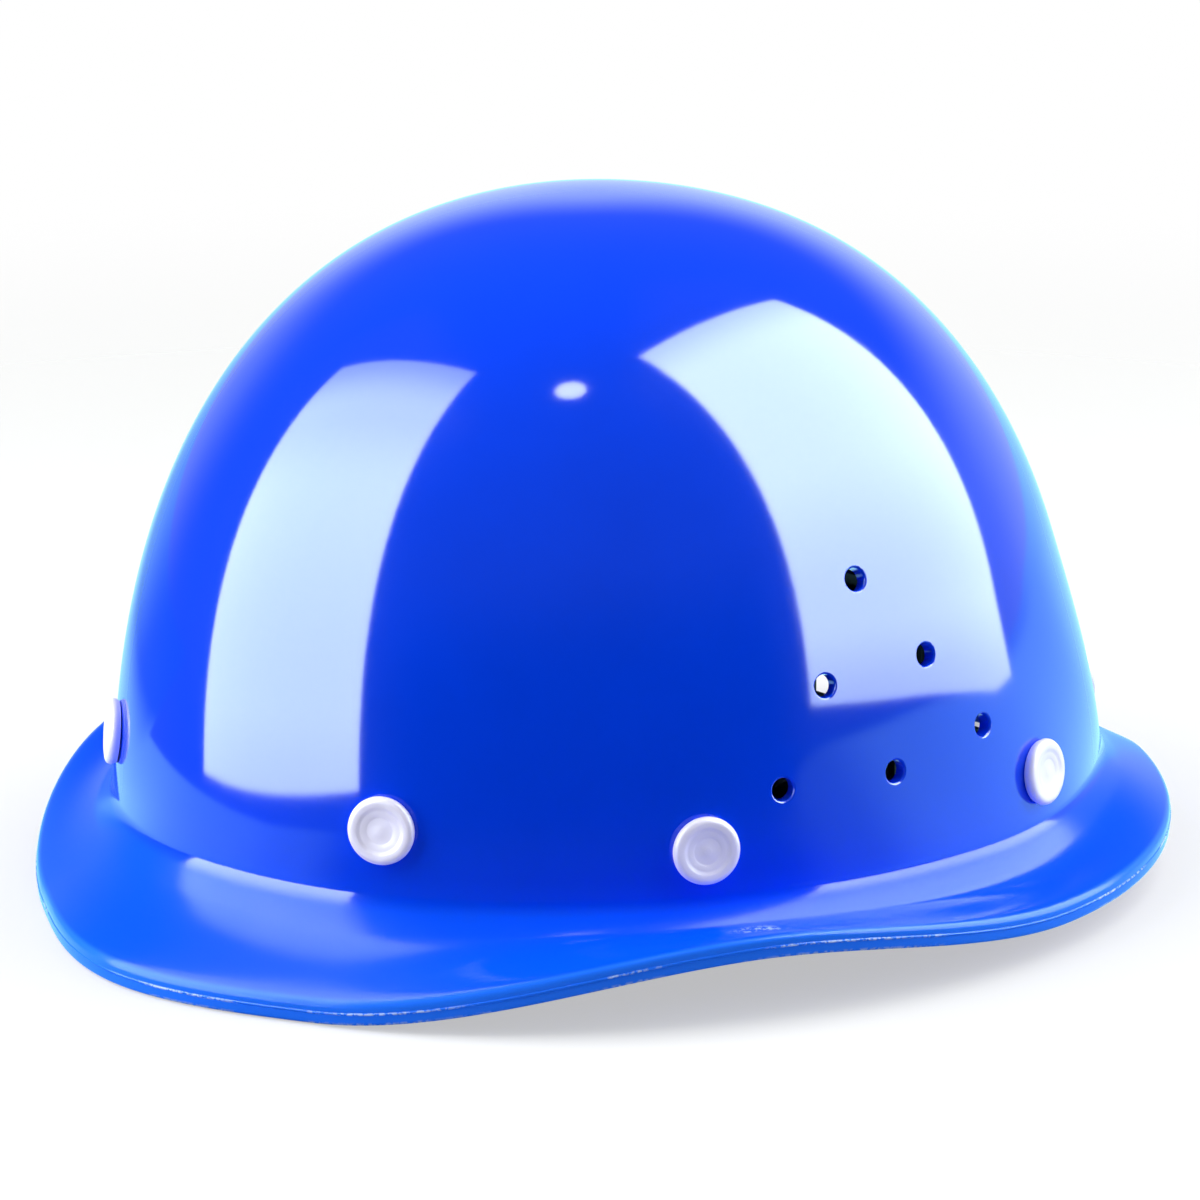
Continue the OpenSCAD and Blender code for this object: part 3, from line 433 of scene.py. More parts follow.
def makeRivets():
    print("rivets: eight white caps")
    r, h, q = rivets["capDiameter"] / 2, rivets["capHeight"], rivets["stemDiameter"] / 2
    edge, stem = rivets["capEdge"], rivets["stemLength"]
    profile = [(0, -stem), (q - 0.0006, -stem), (q, 0.0008 - stem), (q, 0.0001), (r - 0.0004, 0.0001)]
    profile += [(r - edge + edge * math.cos(t), h - edge + edge * math.sin(t))
                for t in np.radians(np.arange(-30, 91, 10))]
    profile += [(away, h - deep) for away, deep in rivets["face"]]
    bm = bmesh.new()
    for m in rivetFrames():
        latheInto(bm, profile, m, 72)
    piece = newObject("rivetCaps", meshFrom(bm, "rivetCaps", 50))
    piece.data.materials.append(moulded("whiteNylon"))
    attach(piece, rootBody)
    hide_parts("rivets")


# Webbing: the crown's four straps and the chin strap, with a turned and sewn hem at each loop.
webbing = {
    "thickness": 0.0012, "crownWidth": 0.020, "chinWidth": 0.012, "step": 0.0011,
    "selvedge": 0.0018, "selvedgeDip": 0.00012,
    "lap": 0.017, "shortLap": 0.013,      # how far a hem is turned back and sewn down
    "sharpAngle": 50,
    "stitchPitch": 0.0026, "stitchLength": 0.0019, "threadRadius": 0.00022, "stitchInset": 0.0022,
    # one stitch: shares of its half length, depths and thicknesses in thread radii
    "stitchShape": [(-1, 1.2, 0.55), (-0.72, 0.1, 1), (0, -0.25, 1.05), (0.72, 0.1, 1), (1, 1.2, 0.55)],
    "sewnGap": 1.03,          # the turned layer's distance, in thicknesses
}
cradle = {
    "barHeight": 0.066, "barIn": 0.0076, "barDiameter": 0.0036,
    "crownHeight": 0.115, "layerStep": 0.002, "fullness": 2.5, "barGap": 0.0003, "loopApex": 0.003,
    "pairs": [(3, 4), (2, 5), (1, 6), (0, 7)],   # hangers that each strap joins, lowest strap first
}
chinStrap = {
    "halfWidth": 0.0835, "back": 0.0935, "bendRadius": 0.0435, "low": 0.002,
    "clipBar": 0.0095, "clipLoop": 0.00236, "clipApex": 0.0035, "rightInset": 0.0016,
    "socketBar": 0.036, "socketLoop": 0.0022, "socketApex": 0.0014, "sliderEnd": -0.029,
    "tailFrom": -0.048, "tailTo": 0.008,
}


def barPoint(i):
    # the middle of hanger i's bar, and the level direction inwards from the shell
    a = np.array(math.radians(rivets["angles"][i // 2]) * (1 if i % 2 == 0 else -1))
    n = domeNormal(a, np.array(rivets["heights"][i // 2]))
    inwards = -n[:2] / np.linalg.norm(n[:2])
    wall = domePoint(a, np.array(rivets["heights"][i // 2]), shell["wall"])[:2]
    atBar = domePoint(a, np.array(cradle["barHeight"]), shell["wall"])[:2]
    return wall + inwards * ((atBar - wall) @ inwards + cradle["barIn"]), inwards


def evenly(points, step):
    lengths = np.concatenate([[0], np.cumsum(np.linalg.norm(np.diff(points, axis=0), axis=1))])
    at = np.linspace(0, lengths[-1], max(2, int(round(lengths[-1] / step))) + 1)
    return np.stack([np.interp(at, lengths, points[:, k]) for k in range(points.shape[1])], 1), at


def directions(points):
    ahead = np.gradient(points, axis=0)
    return ahead / np.linalg.norm(ahead, axis=1, keepdims=True)


def leftOf(line):
    ahead = directions(line)
    return np.stack([-ahead[:, 1], ahead[:, 0]], 1)


def hemLoop(line, centre, radius, apex, lap, side):
    # tape that starts on line's side, comes back to its start, goes round centre and then along line
    centre = np.array(centre, float)
    line = line[int(np.argmax(np.linalg.norm(line - centre, axis=1) > radius + apex)):]
    line, at = evenly(line, 0.0005)
    sewn = at <= lap
    back = line[sewn] + leftOf(line)[sewn] * side * webbing["thickness"] * webbing["sewnGap"]

    def tangentAngle(p, sign):
        d = p - centre
        return math.atan2(d[1], d[0]) + sign * math.acos(radius / np.linalg.norm(d))

    start, end = tangentAngle(line[0], -side), tangentAngle(back[0], side)
    sweep = side * (((end - start) * side) % (2 * math.pi) - 2 * math.pi)
    turn = start + sweep * np.linspace(1, 0, 40)
    loop = centre + radius * np.stack([np.cos(turn), np.sin(turn)], 1)
    return np.concatenate([back[::-1], loop, line]), (line[sewn], side)


def addTape(bm, uvLayer, path, across, width):
    # sweeps a flat section with rounded, slightly thicker edges along a path that bends round across
    points, at = evenly(path, webbing["step"])
    normals = np.cross(directions(points), across)
    half, thick, lip, dip = width / 2, webbing["thickness"] / 2, webbing["selvedge"], webbing["selvedgeDip"]
    edge = [(half - thick + thick * math.cos(t), thick * math.sin(t))
            for t in np.radians([90, 50, 15, -15, -50, -90])]
    flat = [(half - lip, dip - thick), (half - lip * 1.5, dip * 0.3 - thick), (0, -thick),
            (lip * 1.5 - half, dip * 0.3 - thick), (lip - half, dip - thick)]
    section = edge + flat
    section += [(-v, -h) for v, h in section]
    rings = []
    for point, normal in zip(points, normals):
        rings.append([bm.verts.new(point + across * v + normal * h) for v, h in section])
    count = len(section)
    for i in range(len(rings) - 1):
        for j in range(count):
            k = (j + 1) % count
            face = bm.faces.new((rings[i][j], rings[i][k], rings[i + 1][k], rings[i + 1][j]))
            for loop, (row, col) in zip(face.loops, ((i, j), (i, k), (i + 1, k), (i + 1, j))):
                loop[uvLayer].uv = (at[row], section[col][0])
    bm.faces.new(rings[0])
    bm.faces.new(rings[-1][::-1])


def addStitch(bm, centre, ahead, normal):
    # one visible stitch: a short thread that dives into the cloth at both ends
    side = np.cross(ahead, normal)
    half, r = webbing["stitchLength"] / 2, webbing["threadRadius"]
    rings = []
    for along, sink, size in webbing["stitchShape"]:
        middle = centre + ahead * half * along - normal * r * sink
        rings.append([bm.verts.new(middle + (side * math.cos(t) + normal * math.sin(t)) * r * size)
                      for t in np.radians(range(0, 360, 60))])
    faces = [bm.faces.new(rings[0][::-1]), bm.faces.new(rings[-1])]
    for low, high in zip(rings, rings[1:]):
        faces += [bm.faces.new((low[j], low[(j + 1) % 6], high[(j + 1) % 6], high[j])) for j in range(6)]
    for face in faces:
        face.material_index = 1


def sewLine(bm, place, start, end):
    # place(s, v) gives the point, the two directions in the cloth and its outward normal
    start, end = np.array(start), np.array(end)
    length = np.linalg.norm(end - start)
    count = max(1, int(round(length / webbing["stitchPitch"])))
    for j in range(count):
        s, v = start + (end - start) * (j + 0.5) / count
        point, ahead, sideways, normal = place(s, v)
        way = ahead * (end - start)[0] + sideways * (end - start)[1]
        addStitch(bm, point, way / np.linalg.norm(way), normal)


def sewHem(bm, lift, sewn, across, width):
    # a box with a cross, through both layers of a hem
    line, side = sewn
    at = np.concatenate([[0], np.cumsum(np.linalg.norm(np.diff(line, axis=0), axis=1))])
    left = leftOf(line)
    inset, thick = webbing["stitchInset"], webbing["thickness"]
    low, high, far = inset, at[-1] - inset * 0.7, width / 2 - inset
    for face in (1, -1):
        def place(s, v):
            i = int(np.clip(np.searchsorted(at, s), 1, len(at) - 1))
            away = side * face
            height = thick * 1.53 if face > 0 else thick * 0.5
            flat = line[i] + left[i] * away * height
            step = line[i] - line[i - 1]
            return (lift(flat) + across * v, lift(step / np.linalg.norm(step), True), across,
                    lift(left[i] * away, True))
        corners = [(low, -far), (high, -far), (high, far), (low, far)]
        for p, q in zip(corners, corners[1:] + corners[:1]):
            sewLine(bm, place, p, q)
        sewLine(bm, place, corners[0], corners[2])
        sewLine(bm, place, corners[1], corners[3])


def strapPiece(name, body, node, lift, path, hems, across, width):
    bm = bmesh.new()
    uvLayer = bm.loops.layers.uv.new("weave")
    across = np.array(across, float)
    addTape(bm, uvLayer, np.array([lift(q) for q in path]), across, width)
    for sewn in hems:
        sewHem(bm, lift, sewn, across, width)
    piece = newObject(name, meshFrom(bm, name, webbing["sharpAngle"]))
    piece.data.materials.append(wovenTape())
    piece.data.materials.append(sewingThread())
    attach(piece, body)
    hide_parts(node)


def makeCrownStraps():
    print("webbing: crown straps")
    width, thick = webbing["crownWidth"], webbing["thickness"]
    for layer, (i, k) in enumerate(cradle["pairs"]):
        (a, inA), (b, inB) = barPoint(i), barPoint(k)
        along = (b - a) / np.linalg.norm(b - a)
        half = np.linalg.norm(b - a) / 2
        skew = max(abs(along[0] * d[1] - along[1] * d[0]) for d in (inA, inB))
        hem = cradle["barDiameter"] / 2 + cradle["barGap"] + skew * width / 2
        rise = cradle["crownHeight"] + layer * cradle["layerStep"] - cradle["barHeight"]
        t = np.radians(np.linspace(179.5, 0.5, 400))
        share = 2 / cradle["fullness"]
        arch = np.stack([(half - hem - thick / 2) * np.sign(np.cos(t)) * np.abs(np.cos(t)) ** share,
                         rise * np.sin(t) ** share], 1)
        loop = (hem + thick / 2, cradle["loopApex"], webbing["lap"])
        path, hemA = hemLoop(arch, (-half, 0), *loop, 1)
        path, hemB = hemLoop(path[::-1], (half, 0), *loop, -1)
        middle = (a + b) / 2

        def lift(q, direction=False):
            flat = along * q[0] + (0 if direction else middle)
            return np.array([flat[0], flat[1], q[1] + (0 if direction else cradle["barHeight"])])

        strapPiece("crownStrap%d" % (layer + 1), rootBody, "crown_strap_%d" % (layer + 1),
                   lift, path, (hemA, hemB), (-along[1], along[0], 0), width)


def chinLine(side, inset, end):
    # up the side from the clip, round the bend behind the neck and along to x = end
    c = chinStrap
    x, y, r = c["halfWidth"] - inset, c["back"] - inset, c["bendRadius"] - inset
    turn = np.radians(np.linspace(0, 90, 80))
    bendPoints = np.stack([x - r + r * np.cos(turn), y - r + r * np.sin(turn)], 1)
    line = np.concatenate([[(x, c["clipBar"])], bendPoints, [(end * side, y)]])
    return line * (side, 1)


def makeChinStrap():
    print("webbing: chin strap")
    c, thick, width = chinStrap, webbing["thickness"], webbing["chinWidth"]
    level = c["low"] + width / 2

    def lift(q, direction=False):
        return np.array([q[0], q[1], 0 if direction else level])

    def fromClip(side, inset, end):
        line = evenly(chinLine(side, inset, end), 0.0005)[0]
        bar = (c["halfWidth"] * side, c["clipBar"])
        return hemLoop(line, bar, c["clipLoop"] + thick / 2, c["clipApex"], webbing["lap"], side)

    path, clipHem = fromClip(1, 0, c["socketBar"])
    path, socketHem = hemLoop(path[::-1], (c["socketBar"], c["back"]), c["socketLoop"] + thick / 2,
                              c["socketApex"], webbing["shortLap"], -1)
    up, hems = (0, 0, 1), (clipHem, socketHem)
    strapPiece("chinStrapLeft", "chin_strap", "chin_strap_left", lift, path, hems, up, width)
    path, clipHem = fromClip(-1, c["rightInset"], c["sliderEnd"])
    strapPiece("chinStrapRight", "chin_strap", "chin_strap_right", lift, path, (clipHem,), up, width)
    tail = np.array([(c["tailFrom"], c["back"]), (c["tailTo"], c["back"])])
    strapPiece("chinStrapTail", "buckle_plug", "chin_strap_tail", lift, tail, (), up, width)


# Pads: foam in a sewn cover, which swells between its seams.
pads = {
    "voxel": 0.0013, "pressure": 4.0, "frames": 20, "quality": 4, "mass": 0.15,
    "crown": {"radius": 0.0319, "top": 0.1139, "thickness": 0.0053, "domeRadius": 0.15, "ring": 0.0185,
              "swell": 0.0008},
    "sweat": {"halfAngle": 62.0, "offset": (-0.0050, -0.0012), "low": 0.0243, "high": 0.0477, "swell": 0.0009,
              "channels": 9},
    "nape": {"halfAngle": 17.9, "offset": (-0.0040, -0.0004), "low": 0.0258, "high": 0.0462, "swell": 0.0008,
             "channels": 3},
    "band": {"halfWidth": 0.079, "reach": 0.104, "middleY": 0.0085, "napeRadius": 0.0782},
    "seamWidth": 0.0011, "edgeSeam": 0.0030,
}


def loftMesh(name, rings):
    bm = bmesh.new()
    made = [[bm.verts.new(q) for q in ring] for ring in rings]
    count = len(made[0])
    for low, high in zip(made, made[1:]):
        for j in range(count):
            bm.faces.new((low[j], low[(j + 1) % count], high[(j + 1) % count], high[j]))
    bm.faces.new(made[0])
    bm.faces.new(made[-1][::-1])
    return meshFrom(bm, name)


def swell(piece, most, heldAt):
    # fills a closed cover under pressure; heldAt(points) is 1 where a seam holds it
    even = piece.modifiers.new("even", "REMESH")
    even.mode, even.voxel_size = "VOXEL", pads["voxel"]
    applied(piece)
    before = readOut(piece.data.vertices, "co", 3)
    held = heldAt(before)
    group = piece.vertex_groups.new(name="sewn")
    for i in np.nonzero(held > 0.02)[0]:
        group.add([int(i)], float(held[i]), "REPLACE")
    cloth = piece.modifiers.new("filling", "CLOTH")
    cloth.settings.quality, cloth.settings.mass = pads["quality"], pads["mass"]
    cloth.settings.use_pressure, cloth.settings.uniform_pressure_force = True, pads["pressure"]
    cloth.settings.effector_weights.gravity = 0
    cloth.settings.vertex_group_mass = "sewn"
    cloth.point_cache.frame_start, cloth.point_cache.frame_end = 1, pads["frames"]
    for frameNumber in range(1, pads["frames"] + 1):
        scene.frame_set(frameNumber)
    applied(piece)
    move = readOut(piece.data.vertices, "co", 3) - before
    far = np.linalg.norm(move, axis=1, keepdims=True)
    move *= most * np.tanh(far / most) / np.where(far < 1e-9, 1, far)
    piece.data.vertices.foreach_set("co", (before + move).ravel())
    piece.vertex_groups.clear()
    scene.frame_set(1)
    finer = piece.modifiers.new("finer", "SUBSURF")
    finer.levels = finer.render_levels = 1
    applied(piece)
    shadeSmooth(piece.data)


def seamShare(distance):
    return np.clip(1 - np.abs(distance) / pads["seamWidth"], 0, 1)


def finishPad(piece, node, lines, towards):
    # lines of stitches, each a row of (start point, way in): the thread lies where a ray meets the cover
    mesh = piece.data
    tree = BVHTree.FromPolygons([v.co for v in mesh.vertices], [p.vertices for p in mesh.polygons])
    bm = bmesh.new()
    bm.from_mesh(mesh)
    for line in lines:
        line = evenly(np.array(line), webbing["stitchPitch"])[0]
        for q, ahead in zip((line[1:] + line[:-1]) / 2, np.diff(line, axis=0)):
            way = Vector(towards(q))
            hit, normal, _, _ = tree.ray_cast(Vector(q) - way * 0.012, way, 0.03)
            if hit is not None:
                ahead = ahead / np.linalg.norm(ahead)
                normal = np.array(normal)
                ahead = ahead - normal * (ahead @ normal)
                addStitch(bm, np.array(hit) + normal * 0.00008, ahead / np.linalg.norm(ahead), normal)
    bm.to_mesh(mesh)
    bm.free()
    shadeSmooth(mesh)
    mesh.materials.clear()
    mesh.materials.append(padCover())
    mesh.materials.append(sewingThread())
    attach(piece, rootBody)
    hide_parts(node)


def makeCrownPad():
    print("pads: crown pad")
    c, half = pads["crown"], pads["crown"]["thickness"] / 2

    def middle(r):
        return c["top"] - half - r * r / (2 * c["domeRadius"])

    profile = [(r, middle(r) + half) for r in np.linspace(0.001, c["radius"] - half, 12)]
    profile += [(c["radius"] - half + half * math.cos(t), middle(c["radius"]) + half * math.sin(t))
                for t in np.radians([60, 30, 0, -30, -60])]
    profile += [(r, middle(r) - half) for r in np.linspace(c["radius"] - half, 0.001, 12)]
    bm = bmesh.new()
    latheInto(bm, [(0, profile[0][1])] + profile + [(0, profile[-1][1])],
              Matrix.Translation((0, shell["middleY"], 0)), 96)
    piece = newObject("crownPadCover", meshFrom(bm, "crownPadCover"))

    def heldAt(p):
        r = np.hypot(p[:, 0], p[:, 1] - shell["middleY"])
        return np.maximum(seamShare(r - c["ring"]), seamShare((r - c["radius"]) / 1.4))

    swell(piece, c["swell"], heldAt)
    turn = np.radians(np.linspace(0, 360, 160))
    rings = [np.stack([r * np.cos(turn), shell["middleY"] + r * np.sin(turn), middle(r) + 0 * turn], 1)
             for r in (c["ring"], c["radius"] - pads["edgeSeam"])]
    finishPad(piece, "crown_pad", rings, lambda q: (0, 0, 1))


def bandPoint(a, o):
    # a is counted from the headband's front; the nape pad's arc is counted from its back
    b = pads["band"]
    return np.stack([(b["halfWidth"] + o) * np.sin(a), b["middleY"] - (b["reach"] + o) * np.cos(a)], -1)


def napePoint(a, o):
    b = pads["band"]
    return np.stack([(b["napeRadius"] + o) * np.sin(a), b["middleY"] + (b["napeRadius"] + o) * np.cos(a)], -1)


def makeArcPad(name, node, s, pointAt):
    print("pads:", name)
    (inner, outer), low, high = s["offset"], s["low"], s["high"]
    half = math.radians(s["halfAngle"])
    middle, r = (inner + outer) / 2, (outer - inner) / 2
    section = [(middle + r * math.cos(t), (high - r if t <= math.pi else low + r) + r * math.sin(t))
               for t in np.radians(range(0, 360, 20))]
    rings, zMiddle = [], (low + high) / 2
    for a in np.linspace(-half, half, 160):
        # the ends are rounded over the last fortieth of the arc's half
        near = min(1.0, (half - abs(a)) / half * 40)
        shrink = 0.55 + 0.45 * math.sqrt(max(0.0, 1 - (1 - near) ** 2))
        ring = []
        for o, z in section:
            q = pointAt(np.array(a), middle + (o - middle) * shrink)
            ring.append((q[0], q[1], zMiddle + (z - zMiddle) * (0.92 + 0.08 * shrink)))
        rings.append(ring)
    piece = newObject(name, loftMesh(name, rings))
    seams = [half * (2 * (k + 1) / (s["channels"] + 1) - 1) for k in range(s["channels"])]
    fineAngles = np.linspace(-half, half, 2400)
    line = pointAt(fineAngles, middle)
    along = np.concatenate([[0], np.cumsum(np.linalg.norm(np.diff(line, axis=0), axis=1))])

    def heldAt(p):
        nearest = np.argmin(((p[:, None, :2] - line[None, ::8]) ** 2).sum(-1), axis=1) * 8
        at = along[nearest]
        held = np.maximum(seamShare((p[:, 2] - high) / 1.6), seamShare((p[:, 2] - low) / 1.6))
        for a in seams:
            held = np.maximum(held, seamShare(at - np.interp(a, fineAngles, along)))
        return held

    swell(piece, s["swell"], heldAt)
    rows, edge = [], pads["edgeSeam"]
    inside = np.linspace(-half * 0.97, half * 0.97, 200)
    for z in (low + edge, high - edge):
        rows.append([(x, y, z) for x, y in pointAt(inside, middle)])
    for a in seams:
        x, y = pointAt(np.array(a), middle)
        rows.append([(x, y, z) for z in np.linspace(low + edge, high - edge, 12)])

    def outwards(q):
        d = np.array([q[0], q[1] - pads["band"]["middleY"], 0])
        return d / np.linalg.norm(d)

    finishPad(piece, node, rows, outwards)


def makePads():
    makeCrownPad()
    makeArcPad("sweatBandCover", "sweatband", pads["sweat"], bandPoint)
    makeArcPad("napePadCover", "nape_pad", pads["nape"], napePoint)


# Materials. Scales are in features per metre, more or less.
gel = {
    # the brim's lighter blue is painted light with a painted reflection tint, and the lip's paler blue is painted
    # light from the floor below; neither is the resin's own colour
    "blue": (0.0004, 0.047, 0.80, 1), "brimPaintedLightBlue": (0.0006, 0.085, 1.0, 1), "lipPaintedLightBlue": (0.02, 0.20, 1.0, 1),
    "chipPale": (0.42, 0.55, 0.90, 1),
    "roughness": 0.07, "brimRoughness": 0.17, "haze": 0.035, "ior": 1.5,
    "gloss": 0.14, "lacquer": 0.74,           # the resin's own gloss, and the dome's polish over it
    "lipPaintedLightShare": 0.7,                          # how far the lip's face takes the paler blue, which is painted light from the floor below
    "streaks": 190.0, "streakSqueeze": 0.07, "peel": 130.0, "clouds": 22.0, "cloudSpread": 0.05,
    "chipRuns": 55.0, "chipSpecks": 900.0, "chipDepth": -12.0, "bump": 0.000012,
}
# colour, roughness, scale of the grain, its depth, and how patchy the colour is
plastics = {
    "whiteNylon": ((0.79, 0.74, 0.95, 1), 0.38, 1500.0, 0.00003, 0.025),
    "mouldedBlack": ((0.016, 0.016, 0.018, 1), 0.42, 1900.0, 0.00009, 0.18),
    "acetal": ((0.66, 0.65, 0.61, 1), 0.30, 1300.0, 0.00002, 0.03),
}
wear = {"clouds": 60.0, "patches": 95.0, "scuffs": 700.0, "change": (-0.09, 0.10)}
steel = {"colour": (0.62, 0.62, 0.63, 1), "clouds": 300.0, "lines": 900.0, "squeeze": 14.0}
fabric = {
    "webbing": (0.014, 0.014, 0.016), "pad": (0.03, 0.03, 0.034), "thread": (0.075, 0.075, 0.08),
    "weft": 0.0021, "warp": 0.00115, "chevron": 0.0034,     # the weave's periods along and across the tape
    "fuzz": 2600.0, "twist": 5200.0, "cells": 780.0, "nap": 3800.0,
}


def fill(tree, node, inputs):
    for key, value in inputs.items():
        socket = node.inputs[key]
        if isinstance(value, bpy.types.NodeSocket):
            tree.links.new(value, socket)
        else:
            socket.default_value = value


def addNode(tree, kind, inputs, **settings):
    node = tree.nodes.new(kind)
    for key, value in settings.items():
        setattr(node, key, value)
    fill(tree, node, inputs)
    return node


def startMaterial(name):
    mat = bpy.data.materials.new(name)
    mat.use_nodes = True
    tree = mat.node_tree
    return mat, tree, tree.nodes["Principled BSDF"], objectPosition(tree)


def objectPosition(tree):
    return addNode(tree, "ShaderNodeTexCoord", {}).outputs["Object"]


def maths(tree, operation, *values):
    return addNode(tree, "ShaderNodeMath", dict(enumerate(values)), operation=operation).outputs[0]


def noise(tree, where, scale, detail, **more):
    inputs = {"Vector": where, "Scale": scale, "Detail": detail, **more}
    return addNode(tree, "ShaderNodeTexNoise", inputs).outputs["Fac"]


def between(tree, value, low, high, fromLow=0.3, fromHigh=0.7, **settings):
    inputs = {"Value": value, "From Min": fromLow, "From Max": fromHigh, "To Min": low, "To Max": high}
    return addNode(tree, "ShaderNodeMapRange", inputs, **settings).outputs["Result"]


def mixed(tree, factor, low, high, kind="RGBA"):
    mix = addNode(tree, "ShaderNodeMix", {"Factor": factor, "A": low, "B": high}, data_type=kind)
    return mix.outputs["Result"]


def scaled(tree, colour, by):
    change = addNode(tree, "ShaderNodeVectorMath", {0: colour, "Scale": by}, operation="SCALE")
    return change.outputs["Vector"]


def squeezed(tree, where, upright):
    change = addNode(tree, "ShaderNodeMapping", {"Vector": where, "Scale": (1.0, 1.0, upright)})
    return change.outputs["Vector"]


def mottled(tree, colour, scale, spread, where):
    # the same colour a little lighter and darker in soft patches
    return scaled(tree, colour[:3], between(tree, noise(tree, where, scale, 4.0), 1 - spread, 1 + spread))


def bumped(tree, height, strength, distance):
    bump = addNode(tree, "ShaderNodeBump", {"Height": height, "Strength": strength, "Distance": distance})
    return bump.outputs["Normal"]


@cache
def gelCoat():
    # glossy pigmented resin: faint orange peel and mould streaks, a duller brim with painted light and a painted
    # reflection tint, and a chipped lip whose face is made paler with painted light
    mat, tree, bsdf, where = startMaterial("gelCoat")
    # edge carries the mask for the painted light on the lip's face
    brim, lipHeight, edge = [addNode(tree, "ShaderNodeAttribute", {}, attribute_name=name).outputs["Fac"]
                             for name in ("brimShare", "lipHeight", "lipPaintedLightMask")]
    streaks = noise(tree, squeezed(tree, where, gel["streakSqueeze"]), gel["streaks"], 4.0)
    rough = maths(tree, "ADD", between(tree, brim, gel["roughness"], gel["brimRoughness"], 0.0, 1.0),
                  between(tree, streaks, 0.0, gel["haze"], 0.52, 0.74))
    # the parting line and the lip's foot are rubbed pale in short runs
    offLine = maths(tree, "ABSOLUTE", maths(tree, "SUBTRACT", lipHeight, shell["flashLine"] * 1000))
    line = maths(tree, "MAXIMUM", between(tree, offLine, 1.0, 0.0, 0.1, 0.42),
                 between(tree, lipHeight, 0.75, 0.0, 0.25, 0.9))
    runs = between(tree, noise(tree, where, gel["chipRuns"], 2.0), 0.0, 1.0, 0.50, 0.60)
    specks = between(tree, noise(tree, where, gel["chipSpecks"], 3.0), 0.0, 1.0, 0.44, 0.56)
    worn = maths(tree, "MULTIPLY", line, maths(tree, "MULTIPLY", runs, specks))
    colour = mottled(tree, gel["blue"], gel["clouds"], gel["cloudSpread"], where)
    # painted light and a painted reflection tint: the upward-facing brim is given a lighter, greener blue
    colour = mixed(tree, brim, colour, gel["brimPaintedLightBlue"])
    # painted light: the lip's face is made paler, as if lit from the floor below
    colour = mixed(tree, maths(tree, "MULTIPLY", edge, gel["lipPaintedLightShare"]), colour, gel["lipPaintedLightBlue"])
    height = maths(tree, "MULTIPLY_ADD", streaks, 0.3, noise(tree, where, gel["peel"], 2.0))
    height = maths(tree, "MULTIPLY_ADD", worn, gel["chipDepth"], height)
    # the dome is polished over a coat of its own, the brim isn't
    fill(tree, bsdf, {"Base Color": mixed(tree, worn, colour, gel["chipPale"]), "Roughness": rough,
                      "IOR": gel["ior"], "Specular IOR Level": gel["gloss"],
                      "Coat Weight": between(tree, brim, gel["lacquer"], 0.0, 0.0, 1.0),
                      "Coat Roughness": gel["roughness"],
                      "Normal": bumped(tree, height, 0.25, gel["bump"])})
    return mat


@cache
def moulded(name):
    # injection-moulded plastic: a fine spark-eroded grain, soft patches of gloss and faint handling marks
    mat, tree, bsdf, where = startMaterial(name)
    colour, roughness, grain, grainDepth, spread = plastics[name]
    worn = maths(tree, "MULTIPLY", noise(tree, where, wear["patches"], 5.0, Roughness=0.65),
                 noise(tree, where, wear["scuffs"], 2.0, Distortion=1.5))
    low, high = (roughness + change for change in wear["change"])
    fine = noise(tree, where, grain, 3.0, Roughness=0.6)
    fill(tree, bsdf, {"Base Color": mottled(tree, colour, wear["clouds"], spread, where),
                      "Roughness": between(tree, worn, low, high, 0.12, 0.40),
                      "Normal": bumped(tree, fine, 0.35, grainDepth)})
    return mat


@cache
def springSteel():
    mat, tree, bsdf, where = startMaterial("springSteel")
    lines = noise(tree, squeezed(tree, where, steel["squeeze"]), steel["lines"], 4.0)
    fill(tree, bsdf, {"Base Color": mottled(tree, steel["colour"], steel["clouds"], 0.08, where),
                      "Metallic": 1.0, "Roughness": between(tree, lines, 0.22, 0.42),
                      "Normal": bumped(tree, lines, 0.3, 0.00002)})
    return mat


def sine(tree, value, period, phase=0.0):
    return maths(tree, "SINE", maths(tree, "MULTIPLY_ADD", value, 2 * math.pi / period, phase))


@cache
def wovenTape():
    # polyester webbing: cords along the tape, crossed by a weft that runs in a chevron, with painted shade in the
    # weave's hollows
    mat, tree, bsdf, where = startMaterial("wovenTape")
    uv = addNode(tree, "ShaderNodeUVMap", {}, uv_map="weave").outputs["UV"]
    split = addNode(tree, "ShaderNodeSeparateXYZ", {"Vector": uv}).outputs
    lean = maths(tree, "MULTIPLY", maths(tree, "PINGPONG", split["Y"], fabric["chevron"]),
                 2 * math.pi / fabric["weft"])
    weft, warp = sine(tree, split["X"], fabric["weft"], lean), sine(tree, split["Y"], fabric["warp"])
    height = maths(tree, "MULTIPLY_ADD", weft, 0.6, maths(tree, "MULTIPLY", weft, warp))
    height = maths(tree, "MULTIPLY_ADD", noise(tree, where, fabric["fuzz"], 3.0), 0.9, height)
    # painted shade: the weave's hollows are darker and its raised cords paler, along with random fuzz
    paintedWeaveShade = between(tree, height, 0.55, 1.9, -1.2, 2.2)
    fill(tree, bsdf, {"Base Color": scaled(tree, fabric["webbing"], paintedWeaveShade),
                      "Roughness": between(tree, height, 0.82, 0.6, -1.0, 2.0),
                      "Sheen Weight": 0.1, "Sheen Roughness": 0.4,
                      "Normal": bumped(tree, height, 0.7, 0.00012)})
    return mat


@cache
def sewingThread():
    mat, tree, bsdf, where = startMaterial("sewingThread")
    twist = noise(tree, where, fabric["twist"], 2.0)
    fill(tree, bsdf, {"Base Color": mottled(tree, fabric["thread"], 3000.0, 0.2, where), "Roughness": 0.55,
                      "Normal": bumped(tree, twist, 0.5, 0.00005)})
    return mat


